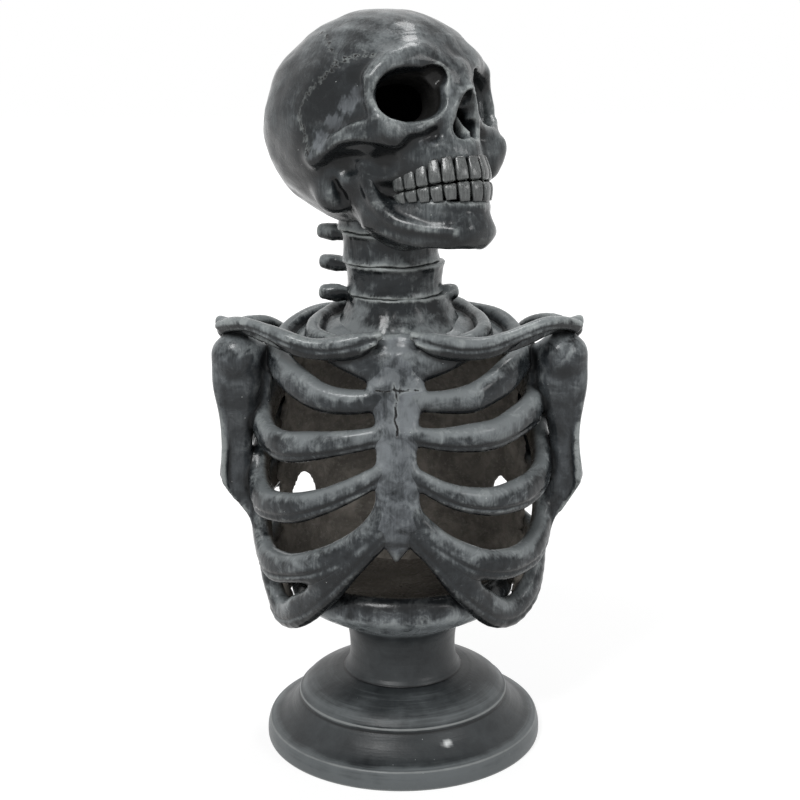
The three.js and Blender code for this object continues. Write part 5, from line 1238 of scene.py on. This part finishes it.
# foot: a turned profile, worked out round the axis as one grid, with its hollow underside
foot = {
    "outer": [(105.5, 0), (117.2, 0), (118.0, 1.2), (118.2, 5), (117.9, 9), (117, 12.5), (116.2, 15),
              (115.2, 16.2), (113.6, 16.6), (113, 17.0), (111.5, 17.6), (108, 19), (104, 21), (99.5, 24.5),
              (96, 28), (93, 32), (91, 35), (89.6, 36.6), (89.5, 38), (89.6, 40), (89.0, 40.9),
              (87.6, 41.6), (84, 46), (78.5, 50), (72, 53.2), (65, 56.4), (58, 58.7), (52.5, 59.7),
              (50.5, 60.2), (49.8, 61.6), (48, 64), (46.8, 67), (45.6, 73), (45.2, 79), (45.5, 87),
              (46.3, 94), (47.9, 100), (50.3, 105), (53.0, 108.6), (54.6, 110)],
    "inner": [(5.4, 110), (5.4, 104), (42.3, 104), (42.3, 50), (81.5, 33.5), (96.5, 19.3), (96.5, 8.4),
              (105.3, 8.4)],
    "around": 200, "longest": 2.4,
    "chipAt": (39, 28), "chipSize": (2.6, 1.9),       # sideways and up, on the front
}


def turnedGrid(profile, around, plan=None):
    # the profile's radius and height at each step round the axis
    angle = np.arange(around) / around * 2 * np.pi
    r, z = profile[:, 0], profile[:, 1]
    x, y = np.outer(r, np.sin(angle)), np.outer(r, -np.cos(angle))
    points = np.stack([x, y, z[:, None] + 0 * x], -1)
    if plan is not None:
        points = plan(points)
    rows = len(profile)
    grid = np.arange(rows * around).reshape(rows, around)
    return points.reshape(-1, 3), ringQuads(grid, np.roll(grid, -1, 0))


def refined(profile, longest):
    # more points along a profile, so that no span is longer than this
    p = np.array(profile, float)
    out = []
    for a, b in zip(p, np.roll(p, -1, 0)):
        n = max(1, int(np.ceil(np.linalg.norm(b - a) / longest)))
        out.append(a + (b - a) * np.arange(n)[:, None] / n)
    return np.vstack(out)


def profileBulge(profile, reach, strength, around):
    # how far each point stands proud of the chord between its neighbours a set way off, on the whole turning
    p = np.vstack([profile] * 3)
    n = len(profile)
    run = travelled(p)
    before, after = (placesAt(run[n:2 * n] + way, run, p) for way in (-reach, reach))
    chord = after - before
    square = unit(np.stack([chord[:, 1], -chord[:, 0]], 1))
    bulge = np.einsum("ij,ij->i", profile - (before + after) / 2, square) / reach
    return np.repeat(np.clip(bulge * strength, -1, 1), around)


def ringWaves(points, seed, waves, twist, fade):
    # soft unevenness of a hand-cast turning: sine waves round the axis that wind up along it
    rng = np.random.default_rng(seed)
    turn = np.arctan2(points[:, 1], points[:, 0])
    return sum(np.sin(k * (turn + points[:, 2] * twist) + rng.uniform(0, 6)) / k ** fade for k in waves)


def makeFoot(f):
    outer = np.array(f["outer"], float)
    smooth = spline(outer, 3 * len(outer), even=False)
    profile = refined(np.vstack([smooth, f["inner"]]), f["longest"])
    around = f["around"]
    points, quads = turnedGrid(profile, around)
    outside = np.repeat(profile[:, 1] > 0.5, around)
    reach = np.hypot(points[:, 0], points[:, 1])
    wave = ringWaves(points, 31, (2, 3, 5, 8), 0.03, 1) * 0.16
    points[:, :2] *= (1 + wave * outside / np.maximum(reach, 20))[:, None]
    points[:, 2] = np.maximum(points[:, 2], 0)
    edge, swell = profileBulge(profile, 2.6, 2.6, around), profileBulge(profile, 11, 1.4, around)
    fromChip = (points[:, [0, 2]] - f["chipAt"]) / f["chipSize"]
    chip = np.clip(1.6 - np.hypot(*fromChip.T), 0, 1) * (points[:, 1] < -60)
    addMesh("cast_pedestal_foot", points, quads[:, ::-1], footPaint, {
        "edge": edge, "swell": swell, "chip": chip}, "pedestal_foot", "bone_paint")


print("foot")
makeFoot(foot)

# waist ring: the same way, its rim drawn into an oval
waist = {
    "profile": [(2.0, 110.4), (54.0, 110.4), (60, 111), (70, 114.2), (79, 118), (86, 122.4), (91, 126.5),
                (93.6, 131), (94.2, 136), (92.6, 142), (89, 146.4), (84.5, 148.6), (79, 148.4),
                (74.5, 145.8), (71.4, 142), (68, 139), (63, 136.4), (56, 134.4), (50, 133.4), (44, 132.8),
                (20, 131.6), (0.4, 131.4), (0.4, 114.4), (0.4, 110.4)],
    "curved": slice(1, 20),     # the profile's points that a smooth curve runs through
    "stem": 55.2, "half": 84.0, "front": 0.87, "back": 0.76, "around": 180, "longest": 2.4,
}


def makeWaist(w):
    profile = np.array(w["profile"], float)
    curved = w["curved"]
    body = spline(profile[curved], 70, even=False)
    profile = refined(np.vstack([profile[:curved.start], body, profile[curved.stop:]]), w["longest"])
    # bare resin on the bowl, inside the rim and above the underside
    bare = np.clip((w["half"] - profile[:, 0]) / 6, 0, 1) * np.clip((profile[:, 1] - 121) / 2, 0, 1)
    bare = np.repeat(bare, w["around"])

    def oval(points):
        # shallower from front to back, the more so the further a place is past the stem
        reach = np.hypot(points[..., 0], points[..., 1])
        blend = np.clip((reach - w["stem"]) / (w["half"] - w["stem"]), 0, 1)
        blend = blend * blend * (3 - 2 * blend)
        share = np.where(points[..., 1] < 0, w["front"], w["back"])
        side = np.clip(np.abs(points[..., 1]) / 40, 0, 1)
        share = share * side + (w["front"] + w["back"]) / 2 * (1 - side)
        points[..., 1] *= 1 + (share - 1) * blend
        return points

    points, quads = turnedGrid(profile, w["around"], oval)
    wave = ringWaves(points, 33, (2, 3, 5, 8, 13, 21), 0.05, 0.7) * 0.28
    high = np.clip((points[:, 2] - 118) / 10, 0, 1)
    points[:, 2] += wave * high * 0.8
    edge, swell = profileBulge(profile, 3.0, 1.6, w["around"]), profileBulge(profile, 9, 1.3, w["around"])
    line = np.full(len(points), noCrack)
    addMesh("cast_waist_ring", points, quads[:, ::-1], bonePaint, {
        "edge": edge * 0.6, "swell": swell, "line": line, "raw": bare, "scuff": 0.45 * (1 - bare)},
        "waist_ring", "bone_paint")


print("waist ring")
makeWaist(waist)


# back wall: a shell inside the ribs, with a ragged slot on each side
wall = {
    "edge": 0.6, "lowReach": 0.2,       # where it ends in front, in half turns, and how much further low down
    "out": -6.4, "thick": 5.0, "bottom": 127.0, "top": 334.0,
    "slotTurn": 0.705, "slotZ": 203.0, "slotReach": 13.5,
}


def makeWall(t, w):
    clay = Clay((-122, -34, 123), (122, 98, 330), 1.6)
    x, y, z = (clay.places(k) for k in range(3))
    share = (z - t["cageBase"]) / t["cageHeight"]
    wide, deep = t["cageWide"] * table(t["wide"], share), t["cageBack"] * table(t["back"], share)
    x, y = x[:, None, None], y[None, :, None]
    k = np.sqrt((x / wide) ** 2 + (y / deep) ** 2)
    slope = np.sqrt((x / wide ** 2) ** 2 + (y / deep ** 2) ** 2) / np.maximum(k, 0.05)
    d = (k - 1) / np.maximum(slope, 1e-4)
    shell = np.abs(d - w["out"] + w["thick"] / 2) - w["thick"] / 2
    turn = np.arctan2(np.abs(x) / wide, -y / deep) / np.pi
    edge = w["edge"] - w["lowReach"] * np.clip((174 - z) / 12, 0, 1)
    side = (edge + 0.006 * np.sin(z / 4.1) + 0.004 * np.sin(z / 1.7) - turn) * wide * np.pi
    ends = np.maximum(w["bottom"] - z, z - w["top"])[None, None, :] + 0 * shell
    field = np.maximum(np.maximum(shell, side), ends)
    # a ragged round slot on each side, the right one larger
    away = (turn - w["slotTurn"]) * wide * np.pi
    slot = np.hypot(away * 0.82, (z - w["slotZ"]) * 1.05 + 2.5 * np.sin(turn * 60))
    field = np.maximum(field, w["slotReach"] - 2.2 * np.sign(x) - slot)
    clay.d[:] = np.clip(field, -Clay.far, Clay.far)
    clay.lumps(13, 0.4, 61)
    clay.lumps(5, 0.2, 62)
    points, quads = surfaceOf(clay.d, clay.low, clay.step)
    addMesh("cast_back_wall", points, quads, bareResin, {}, "back_wall", "bare_resin")


print("back wall")
makeWall(torso, wall)

# carried-over pieces keep their solids and get their own finishes
finishes = {
    "bare_resin": bareResin,
    "bone_paint": bonePaint,
    "black_plastic": plainMaterial("black_plastic", (0.012, 0.012, 0.013), (0.02, 0.02, 0.021), 0.45),
    "steel": plainMaterial("steel", (0.42, 0.43, 0.44), (0.55, 0.56, 0.57), 0.34, 1.0, 90, 700, 0.0001),
    "brass": plainMaterial("brass", (0.50, 0.36, 0.13), (0.62, 0.46, 0.19), 0.36, 1.0, 90, 700, 0.0001),
    "cell_wrap": plainMaterial("cell_wrap", (0.06, 0.08, 0.10), (0.08, 0.10, 0.125), 0.35),
    "lead_skin": plainMaterial("lead_skin", (0.010, 0.010, 0.011), (0.018, 0.018, 0.02), 0.55),
    "lamp_body": plainMaterial("lamp_body", (0.85, 0.60, 0.25), (0.92, 0.68, 0.32), 0.15),
}
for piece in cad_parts.values():
    if piece.hide_render:
        continue
    name = piece.get("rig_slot") or next((m.name for m in piece.data.materials if m), "")
    key = next((k for k in finishes if k in name), "black_plastic")
    for held in piece.material_slots:
        held.material = finishes[key]


# room: white to the camera and in reflections, plain soft light for the object
def makeRoom(s):
    def seen(tree):
        # 1 where the camera, or a mirror or glass, looks at it
        path = tree.nodes.new("ShaderNodeLightPath")
        total = path.outputs["Is Camera Ray"]
        for name in ("Is Glossy Ray", "Is Transmission Ray"):
            more = tree.nodes.new("ShaderNodeMath")
            more.operation = "MAXIMUM"
            tree.links.new(total, more.inputs[0])
            tree.links.new(path.outputs[name], more.inputs[1])
            total = more.outputs[0]
        return total

    world = bpy.data.worlds.new("room")
    bpy.context.scene.world = world
    world.use_nodes = True
    tree = world.node_tree
    back = tree.nodes["Background"]
    shown = tree.nodes.new("ShaderNodeBackground")
    for shade, strength in ((back, s["roomStrength"]), (shown, 1.0)):
        shade.inputs["Color"].default_value = (1, 1, 1, 1)
        shade.inputs["Strength"].default_value = strength
    mixer = tree.nodes.new("ShaderNodeMixShader")
    tree.links.new(seen(tree), mixer.inputs["Fac"])
    tree.links.new(back.outputs[0], mixer.inputs[1])
    tree.links.new(shown.outputs[0], mixer.inputs[2])
    tree.links.new(mixer.outputs[0], tree.nodes["World Output"].inputs["Surface"])
    # floor: a wide thin sheet that keeps a soft shadow
    p = Paint("floor_paper")
    p.set(Base_Color=(s["floorTone"],) * 3, Roughness=0.9)
    glow = p.node("ShaderNodeEmission", None, {"Strength": s["floorWhite"]})
    path = p.node("ShaderNodeLightPath")
    reach = Value(p, p.node("ShaderNodeVectorMath", {"operation": "LENGTH"}, [p.place]).outputs["Value"])
    share = Value(p, path.outputs["Is Camera Ray"]).most(Value(p, path.outputs["Is Glossy Ray"]))
    share = share * (s["floorGlow"] + (1 - s["floorGlow"]) * reach.rise(0.3, 0.9))
    mixer = p.node("ShaderNodeMixShader", None, [share, p.shader.outputs[0], glow.outputs[0]])
    output = next(n for n in p.tree.nodes if n.type == "OUTPUT_MATERIAL")
    p.feed(output.inputs["Surface"], mixer.outputs[0])
    mesh = bpy.data.meshes.new("floor")
    half = s["floorHalf"]
    corners = [(-half, -half, 0), (half, -half, 0), (half, half, 0), (-half, half, 0)]
    mesh.from_pydata(corners, [], [(0, 1, 2, 3)])
    mesh.materials.append(p.material)
    floor = bpy.data.objects.new("floor", mesh)
    bpy.context.scene.collection.objects.link(floor)


print("room")
makeRoom(stage)
softLamp("key_light", (-0.8, -1.5, 2.0), (0, 0, 0.35), 0.8, stage["keyWatts"])
softLamp("fill_light", (1.5, -1.2, 1.2), (0, 0, 0.35), 0.7, stage["fillWatts"])
softLamp("top_light", (0.2, 0.5, 2.1), (0, 0, 0.35), 0.7, stage["backWatts"])
